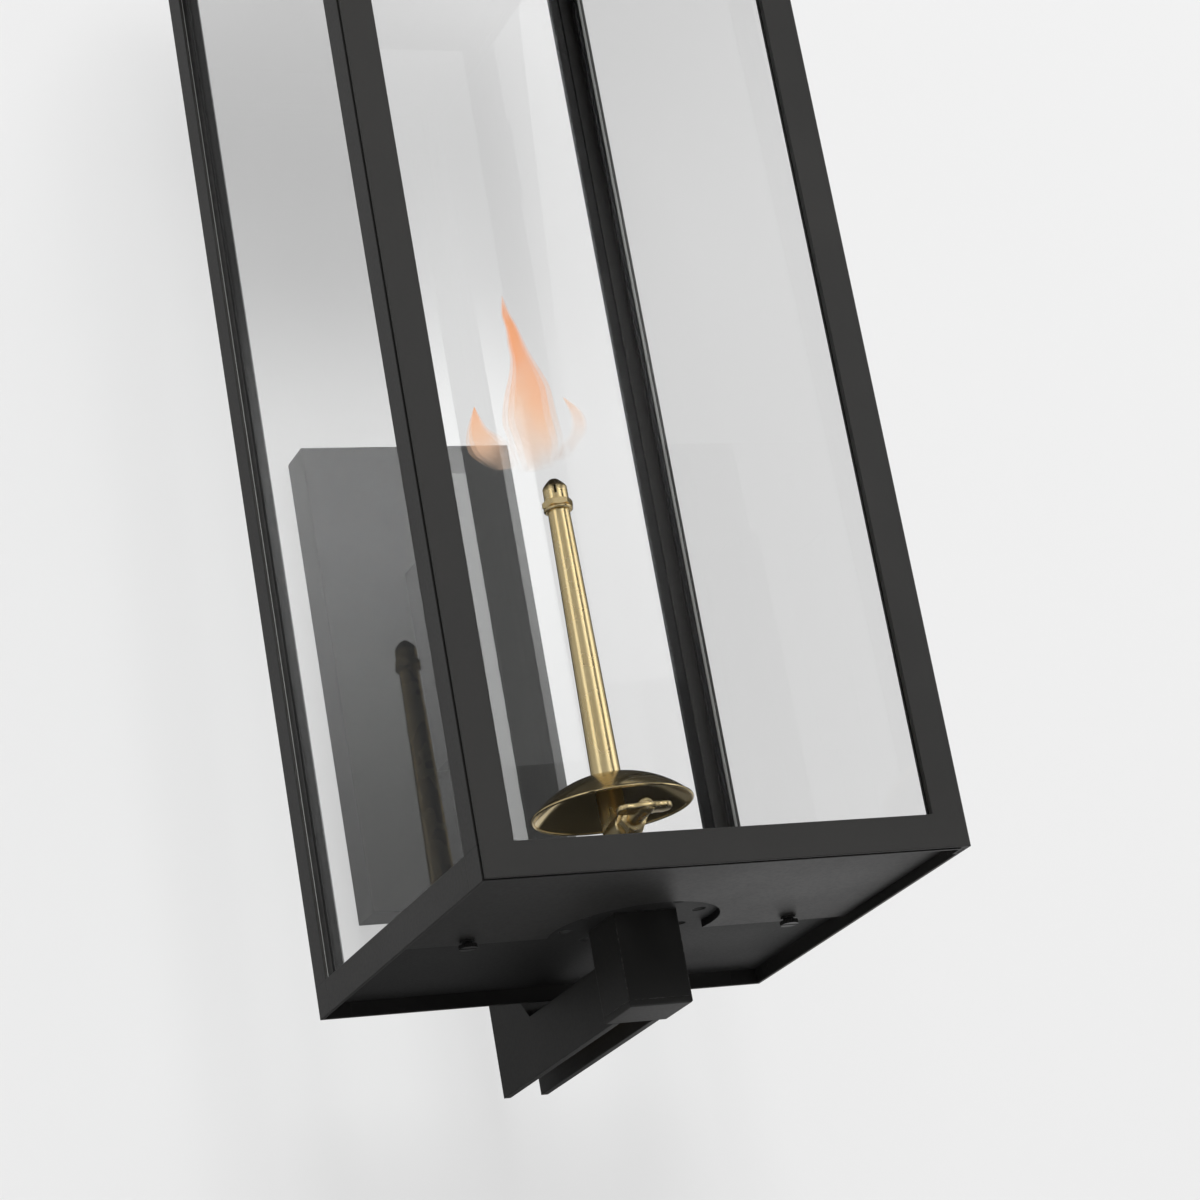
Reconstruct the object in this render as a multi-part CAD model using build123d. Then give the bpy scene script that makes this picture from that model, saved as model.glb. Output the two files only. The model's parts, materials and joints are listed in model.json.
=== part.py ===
from build123d import *
import math
import os

# Square gas wall lantern on a bottom bracket, in millimetres
# X runs to the right, Y towards the wall and Z up
# Shapes are drawn about the lantern's axis at its lower edge, then seated on the wall

# Lantern body
body_width = 235.0
body_height = 620.0
stock_face = 15.9
sheet = 1.6
stop_face = 6.5

# Front door and its side hinges
door_thickness = 3.2
door_skin = 0.8
door_reveal = 2.5
door_gap = 0.4
hinge_return = 10.0
hinge_length = 50.0
hinge_inset = 90.0
leaf_thickness = 1.0
leaf_width = 6.8
barrel_radius = 2.0
hinge_pin_radius = 1.0
hinge_gap = 0.3
running_clearance = 0.05
magnet_radius = 2.0
magnet_inset = 60.0

# Glass and what holds it
glass_thickness = 3.0
glass_lap = 5.4
glass_play = 0.2
bead_height = 6.3
retainer_sheet = 1.2
retainer_lap = 4.6
swing_room = 2.0

# Floor, access plate and its thumb screws
access_drop = 4.4
access_thickness = 3.2
access_play = 0.8
access_rear = 10.0
notch_radius = 41.0
hatch_width = 150.0
hatch_depth = 46.0
hatch_inset = 10.1
vent_count = 8
vent_radius = 3.25
vent_circle = 31.5
thumb_inset = 35.5
thumb_rear = 3.0
thumb_shank_radius = 2.5
thumb_head_radius = 4.4
thumb_head_height = 2.0
thumb_neck_height = 1.0
thumb_slot = 1.4
thumb_collar_radius = 3.6
thumb_collar_height = 0.8
thumb_nut_across = 8.0
thumb_nut_height = 4.0
screw_clearance = 0.2

# Stem and bracket
stem_size = 31.75
stem_wall = 2.0
stem_drop = 37.0
stem_cap_thickness = 3.0
edge_break = 0.6
arm_width = 23.8
arm_height = 29.0
flange_thickness = 3.6
leg_depth = 32.0
gusset_run = 18.4
gusset_angle = 45.0
foot_depth = 16.5
foot_height = 110.0
foot_bolt_spread = 80.0
foot_bolt_radius = 3.0
foot_bolt_depth = 12.0
foot_bolt_head_radius = 5.0
foot_bolt_head_height = 4.0

# Wall side
wall_gap = 86.0
plate_width = 117.5
plate_height = 257.0
plate_depth = 24.0
plate_sheet = 2.0
plate_rise = 196.0
strap_width = 40.0
strap_height = 236.0
strap_thickness = 3.0
strap_gas_radius = 12.5
wall_hole_radius = 2.75
wall_hole_spread_x = 24.0
wall_hole_spread_z = 170.0
stud_radius = 2.5
stud_spread = 210.0
cap_nut_across = 9.0
cap_nut_hex_height = 4.0
cap_nut_dome_radius = 4.0

# Gas line
tube_radius = 4.76
tube_wall = 0.8
tube_bend = 14.0
riser_bend = 12.0
tube_rise_in_arm = 18.0
tube_socket = 7.0
inlet_across = 19.0
inlet_length = 20.0
inlet_wall_gap = 0.3
inlet_bore_radius = 4.8
inlet_bore_length = 12.0

# Valve and key
valve_base_radius = 15.0
valve_base_height = 3.0
valve_column_radius = 6.5
valve_height = 48.0
valve_swing = 6.2
valve_boss_radius = 7.0
valve_boss_reach = 22.0
packing_nut_across = 11.0
packing_nut_length = 8.0
spindle_radius = 3.0
spindle_depth = 10.0
key_reach = 46.0
key_length = 26.0
key_depth = 12.0
key_thickness = 3.0
key_corner = 4.0
key_boss_radius = 3.8
key_face_gap = 1.0

# Burner
dish_radius = 39.0
dish_height = 16.0
dish_rim = 61.6
dish_flat = 9.0
dish_sheet = 1.2
dish_bead_radius = 1.0
nipple_radius = 3.6
nipple_height = 8.0
nipple_bore_radius = 2.0
burner_base_radius = 7.2
burner_top_radius = 5.4
burner_length = 135.4
burner_bore_radius = 3.7
collar_ring_radius = 7.2
collar_ring_height = 2.0
collar_across = 13.2
collar_hex_height = 3.4
tip_radius = 6.0
tip_band_height = 6.6
tip_dome_height = 4.6
tip_flat_radius = 2.2
tip_bore_radius = 2.6
tip_slot_count = 4
tip_slot_width = 1.1
tip_slot_height = 4.0

# Top plate, roof and vent
eave = 4.5
exhaust_inset = 42.5
roof_fascia = 12.0
roof_rise = 34.0
vent_half = 45.0
throat_radius = 40.0
roof_block_size = 14.0
roof_block_height = 8.0
roof_screw_inset = 19.5
roof_screw_radius = 2.0
roof_screw_head_radius = 3.8
roof_screw_head_height = 2.6
collar_height = 22.0
standoff_radius = 3.0
standoff_inset = 38.0
vent_gap = 12.0
cap_overhang = 11.0
cap_fascia = 5.0
cap_rise = 12.0
cap_screw_radius = 4.0
cap_screw_height = 3.6

# Levels and faces that several pieces share
half = body_width / 2
inner = half - sheet
door_back = -half + door_thickness
front_plane = door_back + door_gap
front_inner = front_plane + sheet
post_front_end = front_plane + stock_face
post_rear_end = half - stock_face
return_end = -half + hinge_return
jog_front = return_end + door_gap
jog_outer = inner - door_gap
jog_inner = jog_outer - sheet
opening_half = half - stock_face
pane_half = opening_half + glass_lap
pane_outer = inner - glass_play
pane_inner = pane_outer - glass_thickness
bead_outer = pane_inner - glass_play
floor_low = access_drop + access_thickness
floor_top = floor_low + sheet
door_top = body_height - door_gap
door_opening_low = stock_face
door_opening_high = body_height - stock_face
glass_back = door_back + glass_thickness
retainer_back = glass_back + retainer_sheet
retainer_outer = pane_half + glass_play + retainer_sheet
floor_front = retainer_back + swing_room
hatch_front = floor_front + hatch_inset
stem_half = stem_size / 2
arm_low = -stem_drop
arm_top = arm_low + arm_height
wall_reach = half + wall_gap
plate_front = wall_reach - plate_depth
leg_back = plate_front - foot_depth
leg_front = leg_back - leg_depth
leg_top = plate_rise + foot_height / 2
gusset_front = leg_front - gusset_run
gusset_top = arm_top + gusset_run
tube_level = arm_low + tube_rise_in_arm
tube_column = leg_back - leg_depth / 2
inlet_mouth = wall_reach - inlet_wall_gap
inlet_front = inlet_mouth - inlet_length
tube_inlet_end = inlet_front + tube_socket
riser_top = floor_top + valve_base_height + tube_socket
dish_top = dish_rim + dish_height
burner_top = dish_top + burner_length
collar_top = burner_top + collar_ring_height + collar_hex_height
roof_low = body_height + sheet
roof_top = roof_low + roof_fascia + roof_rise
cap_low = roof_top + collar_height + vent_gap
barrel_x = half + hinge_gap + barrel_radius
barrel_y = (return_end + jog_front) / 2
hinge_levels = (hinge_inset, body_height - hinge_inset)

# Cuts run this far past the faces they break through
overshoot = 1.0

swing = Rot(0, 0, -valve_swing)
seat = Pos(0, -wall_reach, -plate_rise)


def block(x, y, z):
    """Box between low and high values on each axis."""
    size = [high - low for low, high in (x, y, z)]
    middle = [(high + low) / 2 for low, high in (x, y, z)]
    return Pos(*middle) * Box(*size)


def upright(outline, low, high):
    """Plan outline raised from one level to another."""
    face = make_face(Polyline(*outline, close=True))
    return extrude(Pos(0, 0, low) * face, amount=high - low)


def side_plate(outline, left, right):
    """Outline in Y and Z made as thick as the gap between two X values."""
    face = make_face(Polyline(*outline, close=True))
    return extrude(Plane.YZ.offset(left) * face, amount=right - left)


def post_rod(radius, low, high, x=0.0, y=0.0):
    """Round bar along Z."""
    return Pos(x, y, (low + high) / 2) * Cylinder(radius, high - low)


def deep_rod(radius, front, back, x=0.0, z=0.0):
    """Round bar along Y."""
    return Pos(x, (front + back) / 2, z) * Rot(90, 0, 0) * Cylinder(radius, back - front)


def bore(radius, low, high, x=0.0, y=0.0):
    """Round cut along Z that runs past both ends."""
    return post_rod(radius, low - overshoot, high + overshoot, x, y)


def deep_bore(radius, front, back, x=0.0, z=0.0):
    """Round cut along Y that runs past both ends."""
    return deep_rod(radius, front - overshoot, back + overshoot, x, z)


def past(low, high):
    """Span of a cut that runs past both faces."""
    return (low - overshoot, high + overshoot)


def square(reach, span):
    """Square block about the lantern's axis."""
    return block((-reach, reach), (-reach, reach), span)


def hexagon(across, height):
    """Hexagonal bar along Z with its lower face on the XY plane."""
    return extrude(RegularPolygon(across / 2, 6, major_radius=False), amount=height)


def turned(wires):
    """Closed half section in radius and height, turned about Z."""
    return revolve(Plane.XZ * make_face(wires), Axis.Z)


def frustum(low_half, low, high_half, high):
    """Square block that tapers from one half width to another."""
    base = Pos(0, 0, low) * Rectangle(2 * low_half, 2 * low_half)
    crown = Pos(0, 0, high) * Rectangle(2 * high_half, 2 * high_half)
    return loft([base, crown])


def group(solids):
    """Separate like solids kept in one node."""
    return Compound(list(solids))


def mirrored(outline):
    """The same plan outline on the other side of the YZ plane."""
    return [(-x, y) for x, y in outline]


# Corner posts of folded sheet
def corner_posts():
    rear = [
        (half, half), (post_rear_end, half), (post_rear_end, inner),
        (inner, inner), (inner, post_rear_end), (half, post_rear_end),
    ]
    front_left = [
        (-half, front_plane), (-half + stop_face, front_plane), (-half + stop_face, front_inner),
        (-inner, front_inner), (-inner, post_front_end), (-half, post_front_end),
    ]
    front_right = [
        (half, jog_front), (half, post_front_end), (inner, post_front_end),
        (inner, jog_front + sheet), (jog_inner, jog_front + sheet), (jog_inner, front_inner),
        (half - stop_face, front_inner), (half - stop_face, front_plane),
        (jog_outer, front_plane), (jog_outer, jog_front),
    ]
    left = upright(front_left, 0, body_height)
    for level in magnet_levels():
        left -= deep_bore(magnet_radius + running_clearance, front_plane, front_inner, magnet_x(), level)
    return {
        "post_rear_right": upright(rear, 0, body_height),
        "post_rear_left": upright(mirrored(rear), 0, body_height),
        "post_front_left": left,
        "post_front_right": upright(front_right, 0, body_height),
    }


def magnet_x():
    """Middle of the free part of the front-left post's narrow leg."""
    return -half + (stop_face + sheet) / 2


def magnet_levels():
    """Heights of the door magnets."""
    return (magnet_inset, body_height / 2, body_height - magnet_inset)


def door_magnets():
    return group(
        deep_rod(magnet_radius, front_plane, front_inner, magnet_x(), level) for level in magnet_levels()
    )


# Rails between the posts
def rails():
    side_run = (post_front_end, post_rear_end)
    tall = {"bottom": (0, stock_face), "top": (body_height - stock_face, body_height)}
    low = {"bottom": (0, stop_face), "top": (body_height - stop_face, body_height)}
    nodes = {}
    for place, span in tall.items():
        nodes[place + "_rail_left"] = block((-half, -inner), side_run, span)
        nodes[place + "_rail_right"] = block((inner, half), side_run, span)
        nodes[place + "_rail_rear"] = block((-post_rear_end, post_rear_end), (inner, half), span)
        front_run = (-half + stop_face, half - stop_face)
        nodes[place + "_rail_front"] = block(front_run, (front_plane, front_inner), low[place])
    return nodes


# Floor plate with its ring of vents, and the access plate under its hatch
def hinge_corner(span):
    """Room for the jog of the front-right post."""
    return block((jog_inner, half), (-half, jog_front + sheet), span)


def thumb_places():
    """The two thumb screw positions in plan."""
    return [(side * (half - thumb_inset), thumb_rear) for side in (-1, 1)]


def floor_plate():
    plate = block((-inner, inner), (floor_front, inner), (floor_low, floor_top))
    plate -= hinge_corner(past(floor_low, floor_top))
    hatch_back = hatch_front + hatch_depth
    hatch_side = (-hatch_width / 2, hatch_width / 2)
    plate -= block(hatch_side, (hatch_front, hatch_back), past(floor_low, floor_top))
    for index in range(vent_count):
        angle = math.radians((index + 0.5) * 360 / vent_count)
        x, y = vent_circle * math.cos(angle), vent_circle * math.sin(angle)
        plate -= bore(vent_radius, floor_low, floor_top, x, y)
    plate -= bore(tube_radius + screw_clearance, floor_low, floor_top)
    for x, y in thumb_places():
        plate -= bore(thumb_shank_radius + screw_clearance, floor_low, floor_top, x, y)
    return plate


def access_plate():
    reach = inner - access_play
    plate = block((-reach, reach), (front_inner + access_play, access_rear), (access_drop, floor_low))
    plate -= hinge_corner(past(access_drop, floor_low))
    plate -= bore(notch_radius, access_drop, floor_low)
    for x, y in thumb_places():
        plate -= bore(thumb_shank_radius + screw_clearance, access_drop, floor_low, x, y)
    return plate


def access_thumb_screws():
    collar_low = access_drop - thumb_collar_height
    head_top = collar_low - thumb_neck_height
    head_low = head_top - thumb_head_height
    screw = post_rod(thumb_head_radius, head_low, head_top)
    screw += post_rod(thumb_collar_radius, collar_low, access_drop)
    screw += post_rod(thumb_shank_radius, head_low, floor_top + thumb_nut_height)
    slot_top = head_low + thumb_head_height / 2
    screw -= block(
        past(-thumb_head_radius, thumb_head_radius), (-thumb_slot / 2, thumb_slot / 2),
        (head_low - overshoot, slot_top),
    )
    return group(Pos(x, y, 0) * screw for x, y in thumb_places())


def access_nuts():
    nut = Pos(0, 0, floor_top) * hexagon(thumb_nut_across, thumb_nut_height)
    nut -= bore(thumb_shank_radius + running_clearance, floor_top, floor_top + thumb_nut_height)
    return group(Pos(x, y, 0) * nut for x, y in thumb_places())


# Fixed panes and the beads that keep them behind the posts
def fixed_panes():
    span = (floor_top, door_opening_high + glass_lap)
    side_run = (post_front_end - glass_lap, post_rear_end + glass_lap)
    return {
        "glass_left": block((-pane_outer, -pane_inner), side_run, span),
        "glass_right": block((pane_inner, pane_outer), side_run, span),
        "glass_rear": block((-pane_half, pane_half), (pane_inner, pane_outer), span),
    }


def beads(low, high):
    side_run = (post_front_end - glass_lap, post_rear_end)
    bead_inner = bead_outer - sheet
    return group([
        block((-bead_outer, -bead_inner), side_run, (low, high)),
        block((bead_inner, bead_outer), side_run, (low, high)),
        block((-post_rear_end, post_rear_end), (bead_inner, bead_outer), (low, high)),
    ])


# Front door: flat frame with a folded right edge, glass and retainer
def ring(outer_half, low, high, hole_half, hole_low, hole_high, front, back):
    """Upright rectangular frame between two Y values."""
    frame = block((-outer_half, outer_half), (front, back), (low, high))
    return frame - block((-hole_half, hole_half), past(front, back), (hole_low, hole_high))


def door_frame():
    opening = (opening_half, door_opening_low, door_opening_high)
    skin_back = -half + door_skin
    frame = ring(half, 0, door_top, *opening, -half, skin_back)
    frame += ring(half - door_reveal, door_reveal, door_top - door_reveal, *opening, skin_back, door_back)
    return frame + block((inner - door_reveal, half), (skin_back, door_back), (0, door_top)) + block(
        (inner, half), (-half, return_end), (0, door_top)
    )


def door_glass():
    span = (door_opening_low - glass_lap, door_opening_high + glass_lap)
    return block((-pane_half, pane_half), (door_back, glass_back), span)


def door_glass_retainer():
    edge = glass_lap + glass_play
    low, high = door_opening_low - edge, door_opening_high + edge
    lip_half = pane_half - retainer_lap
    lip_low = door_opening_low - glass_lap + retainer_lap
    lip_high = door_opening_high + glass_lap - retainer_lap
    outside = (retainer_outer, low - retainer_sheet, high + retainer_sheet)
    wall = ring(*outside, retainer_outer - retainer_sheet, low, high, door_back, glass_back)
    lip = ring(*outside, lip_half, lip_low, lip_high, glass_back, retainer_back)
    return wall + lip


# Butt hinges on the right side: leaves, knuckles and pins
def knuckles(level):
    """Lower and upper ends of the three knuckles of one hinge."""
    third = hinge_length / 3
    low = level - hinge_length / 2
    return [(low + i * third + hinge_gap / 2, low + (i + 1) * third - hinge_gap / 2) for i in range(3)]


def hinge_leaf(level, side, owned):
    """One leaf with its knuckles; side is -1 for the door's and 1 for the post's."""
    near = barrel_y + side * (barrel_radius + hinge_gap)
    far = barrel_y + side * leaf_width
    low, high = level - hinge_length / 2, level + hinge_length / 2
    leaf = block((half, half + leaf_thickness), sorted((near, far)), (low, high))
    for index in owned:
        bottom, top = knuckles(level)[index]
        leaf += block((half + hinge_gap, half + leaf_thickness), sorted((barrel_y, near)), (bottom, top))
        leaf += post_rod(barrel_radius, bottom, top, barrel_x, barrel_y)
    return leaf - bore(hinge_pin_radius + running_clearance, low, high, barrel_x, barrel_y)


def hinge_pins():
    head = barrel_radius / 2
    pins = []
    for level in hinge_levels:
        low = level - hinge_length / 2 + hinge_gap / 2
        high = level + hinge_length / 2 - hinge_gap / 2
        pin = post_rod(hinge_pin_radius, low, high, barrel_x, barrel_y)
        pin += post_rod(hinge_pin_radius + head, low - head, low, barrel_x, barrel_y)
        pins.append(pin + post_rod(hinge_pin_radius + head, high, high + head, barrel_x, barrel_y))
    return group(pins)


# Stem under the floor, closed below
def stem_tube():
    hollow = stem_half - stem_wall
    low = arm_low + stem_cap_thickness
    tube = square(stem_half, (low, floor_low)) - square(hollow, past(low, floor_low))
    return tube - deep_bore(tube_radius + screw_clearance, hollow, stem_half, 0, tube_level)


def stem_cap():
    cap = square(stem_half, (arm_low, arm_low + stem_cap_thickness))
    return chamfer(cap.faces().sort_by(Axis.Z)[0].edges(), edge_break)


# Bracket: channel open below and behind, with a sloped inner corner
def bracket_channel():
    outline = [
        (stem_half, arm_low), (leg_back, arm_low), (leg_back, leg_top), (leg_front, leg_top),
        (leg_front, gusset_top), (gusset_front, arm_top), (stem_half, arm_top),
    ]
    mitre = flange_thickness * math.tan(math.radians(gusset_angle / 2))
    web_back = leg_front + flange_thickness
    web_outline = [
        (stem_half, arm_top), (gusset_front, arm_top), (leg_front, gusset_top), (leg_front, leg_top),
        (leg_back, leg_top), (leg_back, leg_top - flange_thickness),
        (web_back, leg_top - flange_thickness), (web_back, gusset_top - mitre),
        (gusset_front + mitre, arm_top - flange_thickness), (stem_half, arm_top - flange_thickness),
    ]
    outer = arm_width / 2
    gap = outer - flange_thickness
    channel = side_plate(outline, -outer, -gap) + side_plate(outline, gap, outer)
    return channel + side_plate(web_outline, -gap, gap)


def foot_bolt_levels():
    """Heights of the two bolts that hold the bracket's foot."""
    return [plate_rise + side * foot_bolt_spread / 2 for side in (-1, 1)]


def bracket_foot():
    span = (plate_rise - foot_height / 2, plate_rise + foot_height / 2)
    foot = block((-arm_width / 2, arm_width / 2), (leg_back, plate_front), span)
    foot -= deep_bore(tube_radius + screw_clearance, leg_back, plate_front, 0, plate_rise)
    for level in foot_bolt_levels():
        tapped = plate_front - foot_bolt_depth
        foot -= deep_rod(foot_bolt_radius + running_clearance, tapped, plate_front + overshoot, 0, level)
    return foot


def foot_bolts():
    head_front = plate_front + plate_sheet
    bolts = []
    for level in foot_bolt_levels():
        bolt = deep_rod(foot_bolt_radius, plate_front - foot_bolt_depth + overshoot, head_front, 0, level)
        head = deep_rod(foot_bolt_head_radius, head_front, head_front + foot_bolt_head_height, 0, level)
        bolts.append(bolt + head)
    return group(bolts)


# Backplate shell, wall strap and what joins them
def stud_levels():
    """Heights of the two studs that carry the backplate."""
    return [plate_rise + side * stud_spread / 2 for side in (-1, 1)]


def backplate():
    side, top = plate_width / 2, plate_height / 2
    shell = block((-side, side), (plate_front, wall_reach), (plate_rise - top, plate_rise + top))
    shell = chamfer(shell.faces().sort_by(Axis.Y)[0].edges(), edge_break)
    side, top = side - plate_sheet, top - plate_sheet
    hollow_front = plate_front + plate_sheet
    rear = (hollow_front, wall_reach + overshoot)
    shell -= block((-side, side), rear, (plate_rise - top, plate_rise + top))
    shell -= deep_bore(tube_radius + screw_clearance, plate_front, hollow_front, 0, plate_rise)
    for level in foot_bolt_levels():
        shell -= deep_bore(foot_bolt_radius + screw_clearance, plate_front, hollow_front, 0, level)
    for level in stud_levels():
        shell -= deep_bore(stud_radius + screw_clearance, plate_front, hollow_front, 0, level)
    return shell


def mounting_strap():
    front = wall_reach - strap_thickness
    span = (plate_rise - strap_height / 2, plate_rise + strap_height / 2)
    strap = block((-strap_width / 2, strap_width / 2), (front, wall_reach), span)
    strap -= deep_bore(strap_gas_radius, front, wall_reach, 0, plate_rise)
    for x in (-wall_hole_spread_x / 2, wall_hole_spread_x / 2):
        for z in (plate_rise - wall_hole_spread_z / 2, plate_rise + wall_hole_spread_z / 2):
            strap -= deep_bore(wall_hole_radius, front, wall_reach, x, z)
    return strap


def mounting_studs():
    front = plate_front - cap_nut_hex_height - cap_nut_dome_radius / 2
    return group(deep_rod(stud_radius, front, wall_reach - strap_thickness, 0, z) for z in stud_levels())


def cap_nuts():
    nut = hexagon(cap_nut_across, cap_nut_hex_height)
    dome = Pos(0, 0, cap_nut_hex_height) * Sphere(cap_nut_dome_radius)
    nut += dome & Pos(0, 0, cap_nut_hex_height + cap_nut_dome_radius / 2) * Box(
        2 * cap_nut_dome_radius, 2 * cap_nut_dome_radius, cap_nut_dome_radius
    )
    blind = cap_nut_hex_height + cap_nut_dome_radius / 2 + running_clearance
    nut -= post_rod(stud_radius + running_clearance, -overshoot, blind)
    return group(Pos(0, plate_front, z) * Rot(90, 0, 0) * nut for z in stud_levels())


# Gas line from the wall, down the bracket's leg, along its arm and up the stem
def gas_supply_tube():
    route = FilletPolyline(
        (0, tube_inlet_end, plate_rise), (0, tube_column, plate_rise),
        (0, tube_column, tube_level), (0, 0, tube_level), (0, 0, riser_top),
        radius=[tube_bend, tube_bend, riser_bend],
    )
    section = Circle(tube_radius) - Circle(tube_radius - tube_wall)
    return sweep(Plane(origin=route @ 0, z_dir=route % 0) * section, path=route)


def gas_inlet_fitting():
    body = Pos(0, inlet_mouth, plate_rise) * Rot(90, 0, 0) * hexagon(inlet_across, inlet_length)
    socket = tube_radius + running_clearance
    body -= deep_rod(socket, inlet_front - overshoot, tube_inlet_end, 0, plate_rise)
    body -= deep_rod(tube_radius - tube_wall, tube_inlet_end - overshoot, inlet_mouth, 0, plate_rise)
    bore_front = inlet_mouth - inlet_bore_length
    return body - deep_rod(inlet_bore_radius, bore_front, inlet_mouth + overshoot, 0, plate_rise)


# Valve on the floor plate, its packing nut and its wing key
def valve_body():
    column_top = dish_top - dish_sheet
    body = post_rod(valve_base_radius, floor_top, floor_top + valve_base_height)
    body += post_rod(valve_column_radius, floor_top, column_top)
    body += post_rod(nipple_radius, column_top, dish_top + nipple_height)
    body += swing * deep_rod(valve_boss_radius, -valve_boss_reach, 0, 0, valve_height)
    body -= post_rod(tube_radius + running_clearance, floor_top - overshoot, riser_top)
    body -= bore(nipple_bore_radius, riser_top, dish_top + nipple_height)
    bore_back = -spindle_depth + key_face_gap
    spindle_bore = spindle_radius + running_clearance
    return body - swing * deep_rod(spindle_bore, -valve_boss_reach - overshoot, bore_back, 0, valve_height)


def packing_nut():
    blank = hexagon(packing_nut_across, packing_nut_length)
    nut = Pos(0, -valve_boss_reach, valve_height) * Rot(90, 0, 0) * blank
    front = -valve_boss_reach - packing_nut_length
    nut -= deep_bore(spindle_radius + running_clearance, front, -valve_boss_reach, 0, valve_height)
    return swing * nut


def valve_key():
    front, back = -key_reach - key_depth / 2, -key_reach + key_depth / 2
    blank = RectangleRounded(key_length, key_depth, key_corner)
    key = extrude(Pos(0, -key_reach, valve_height - key_thickness / 2) * blank, amount=key_thickness)
    nut_face = -valve_boss_reach - packing_nut_length
    key += deep_rod(key_boss_radius, front, max(back, nut_face - key_face_gap), 0, valve_height)
    return swing * (key + deep_rod(spindle_radius, back, -spindle_depth, 0, valve_height))


# Burner above the valve
def burner_dish():
    reach = dish_radius ** 2 - dish_flat ** 2
    centre = dish_rim + (dish_height ** 2 - reach) / (2 * dish_height)
    outer = math.hypot(dish_radius, dish_rim - centre)
    inner_radius = outer - dish_sheet
    low_angle = math.atan2(dish_rim - centre, dish_radius)

    def on_arc(radius, angle):
        return (radius * math.cos(angle), centre + radius * math.sin(angle))

    outer_angle = math.acos(dish_flat / outer)
    inner_flat = dish_top - dish_sheet
    inner_angle = math.asin((inner_flat - centre) / inner_radius)
    hole = nipple_radius + screw_clearance
    wires = [
        Line((hole, dish_top), on_arc(outer, outer_angle)),
        ThreePointArc(
            on_arc(outer, outer_angle), on_arc(outer, (outer_angle + low_angle) / 2),
            on_arc(outer, low_angle),
        ),
        Line(on_arc(outer, low_angle), on_arc(inner_radius, low_angle)),
        ThreePointArc(
            on_arc(inner_radius, low_angle), on_arc(inner_radius, (inner_angle + low_angle) / 2),
            on_arc(inner_radius, inner_angle),
        ),
        Line(on_arc(inner_radius, inner_angle), (hole, inner_flat)),
        Line((hole, inner_flat), (hole, dish_top)),
    ]
    bead = Pos(0, 0, dish_rim) * Torus(dish_radius - dish_bead_radius, dish_bead_radius)
    return turned(wires) + bead


def burner_tube():
    return turned(Polyline(
        (burner_bore_radius, dish_top), (burner_base_radius, dish_top),
        (burner_top_radius, burner_top), (burner_bore_radius, burner_top), close=True,
    ))


def burner_collar():
    collar = post_rod(collar_ring_radius, burner_top, burner_top + collar_ring_height)
    collar += Pos(0, 0, burner_top + collar_ring_height) * hexagon(collar_across, collar_hex_height)
    return collar - bore(burner_bore_radius, burner_top, collar_top)


def burner_tip():
    band_top = collar_top + tip_band_height
    dome_top = band_top + tip_dome_height
    wires = [
        Line((0, collar_top), (tip_radius, collar_top)),
        Line((tip_radius, collar_top), (tip_radius, band_top)),
        TangentArc((tip_radius, band_top), (tip_flat_radius, dome_top), tangent=(0, 1)),
        Line((tip_flat_radius, dome_top), (0, dome_top)),
        Line((0, dome_top), (0, collar_top)),
    ]
    tip = turned(wires) - post_rod(tip_bore_radius, collar_top - overshoot, band_top)
    slot_low = band_top - tip_slot_height
    for index in range(tip_slot_count):
        slot = block((0, 2 * tip_radius), (-tip_slot_width / 2, tip_slot_width / 2), (slot_low, band_top))
        tip -= Rot(0, 0, (index + 0.5) * 360 / tip_slot_count) * slot
    return tip


# Top plate, roof and raised vent cap
def corners(distance):
    """Four plan positions, one in each corner."""
    return [(x * distance, y * distance) for x in (-1, 1) for y in (-1, 1)]


def top_plate():
    edge = half + eave
    plate = square(edge, (body_height, roof_low))
    plate -= square(half - exhaust_inset, past(body_height, roof_low))
    for x, y in corners(half - roof_screw_inset):
        plate -= bore(roof_screw_radius + screw_clearance, body_height, roof_low, x, y)
    return plate


def roof_shell():
    edge = half + eave
    knee = roof_low + roof_fascia
    run = edge - vent_half
    drop = sheet * math.hypot(run, roof_rise) / run
    shell = square(edge, (roof_low, knee)) + frustum(edge, knee, vent_half, roof_top)
    hollow_edge = edge - sheet
    hollow_knee = knee - drop + sheet * roof_rise / run
    hollow = square(hollow_edge, (roof_low - overshoot, hollow_knee))
    hollow += frustum(hollow_edge, hollow_knee, vent_half, roof_top - drop)
    return shell - hollow - post_rod(throat_radius, roof_low, roof_top + overshoot)


def roof_blocks():
    size = roof_block_size / 2
    span = (roof_low, roof_low + roof_block_height)
    tapped = square(size, span) - bore(roof_screw_radius + running_clearance, *span)
    return group(Pos(x, y, 0) * tapped for x, y in corners(half - roof_screw_inset))


def roof_screws():
    head_low = body_height - roof_screw_head_height
    screw = post_rod(roof_screw_radius, body_height, roof_low + roof_block_height)
    screw += post_rod(roof_screw_head_radius, head_low, body_height)
    return group(Pos(x, y, 0) * screw for x, y in corners(half - roof_screw_inset))


def vent_collar():
    span = (roof_top, roof_top + collar_height)
    return square(vent_half, span) - square(vent_half - sheet, past(*span))


def vent_standoffs():
    return group(post_rod(standoff_radius, roof_top, cap_low, x, y) for x, y in corners(standoff_inset))


def vent_cap():
    edge = vent_half + cap_overhang
    knee = cap_low + cap_fascia
    cap = square(edge, (cap_low, knee)) + frustum(edge, knee, sheet, knee + cap_rise)
    for x, y in corners(standoff_inset):
        cap -= post_rod(cap_screw_radius + screw_clearance, knee, knee + cap_rise, x, y)
    return cap


def cap_screws():
    knee = cap_low + cap_fascia
    return group(
        post_rod(cap_screw_radius, knee, knee + cap_screw_height, x, y) for x, y in corners(standoff_inset)
    )


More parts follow.
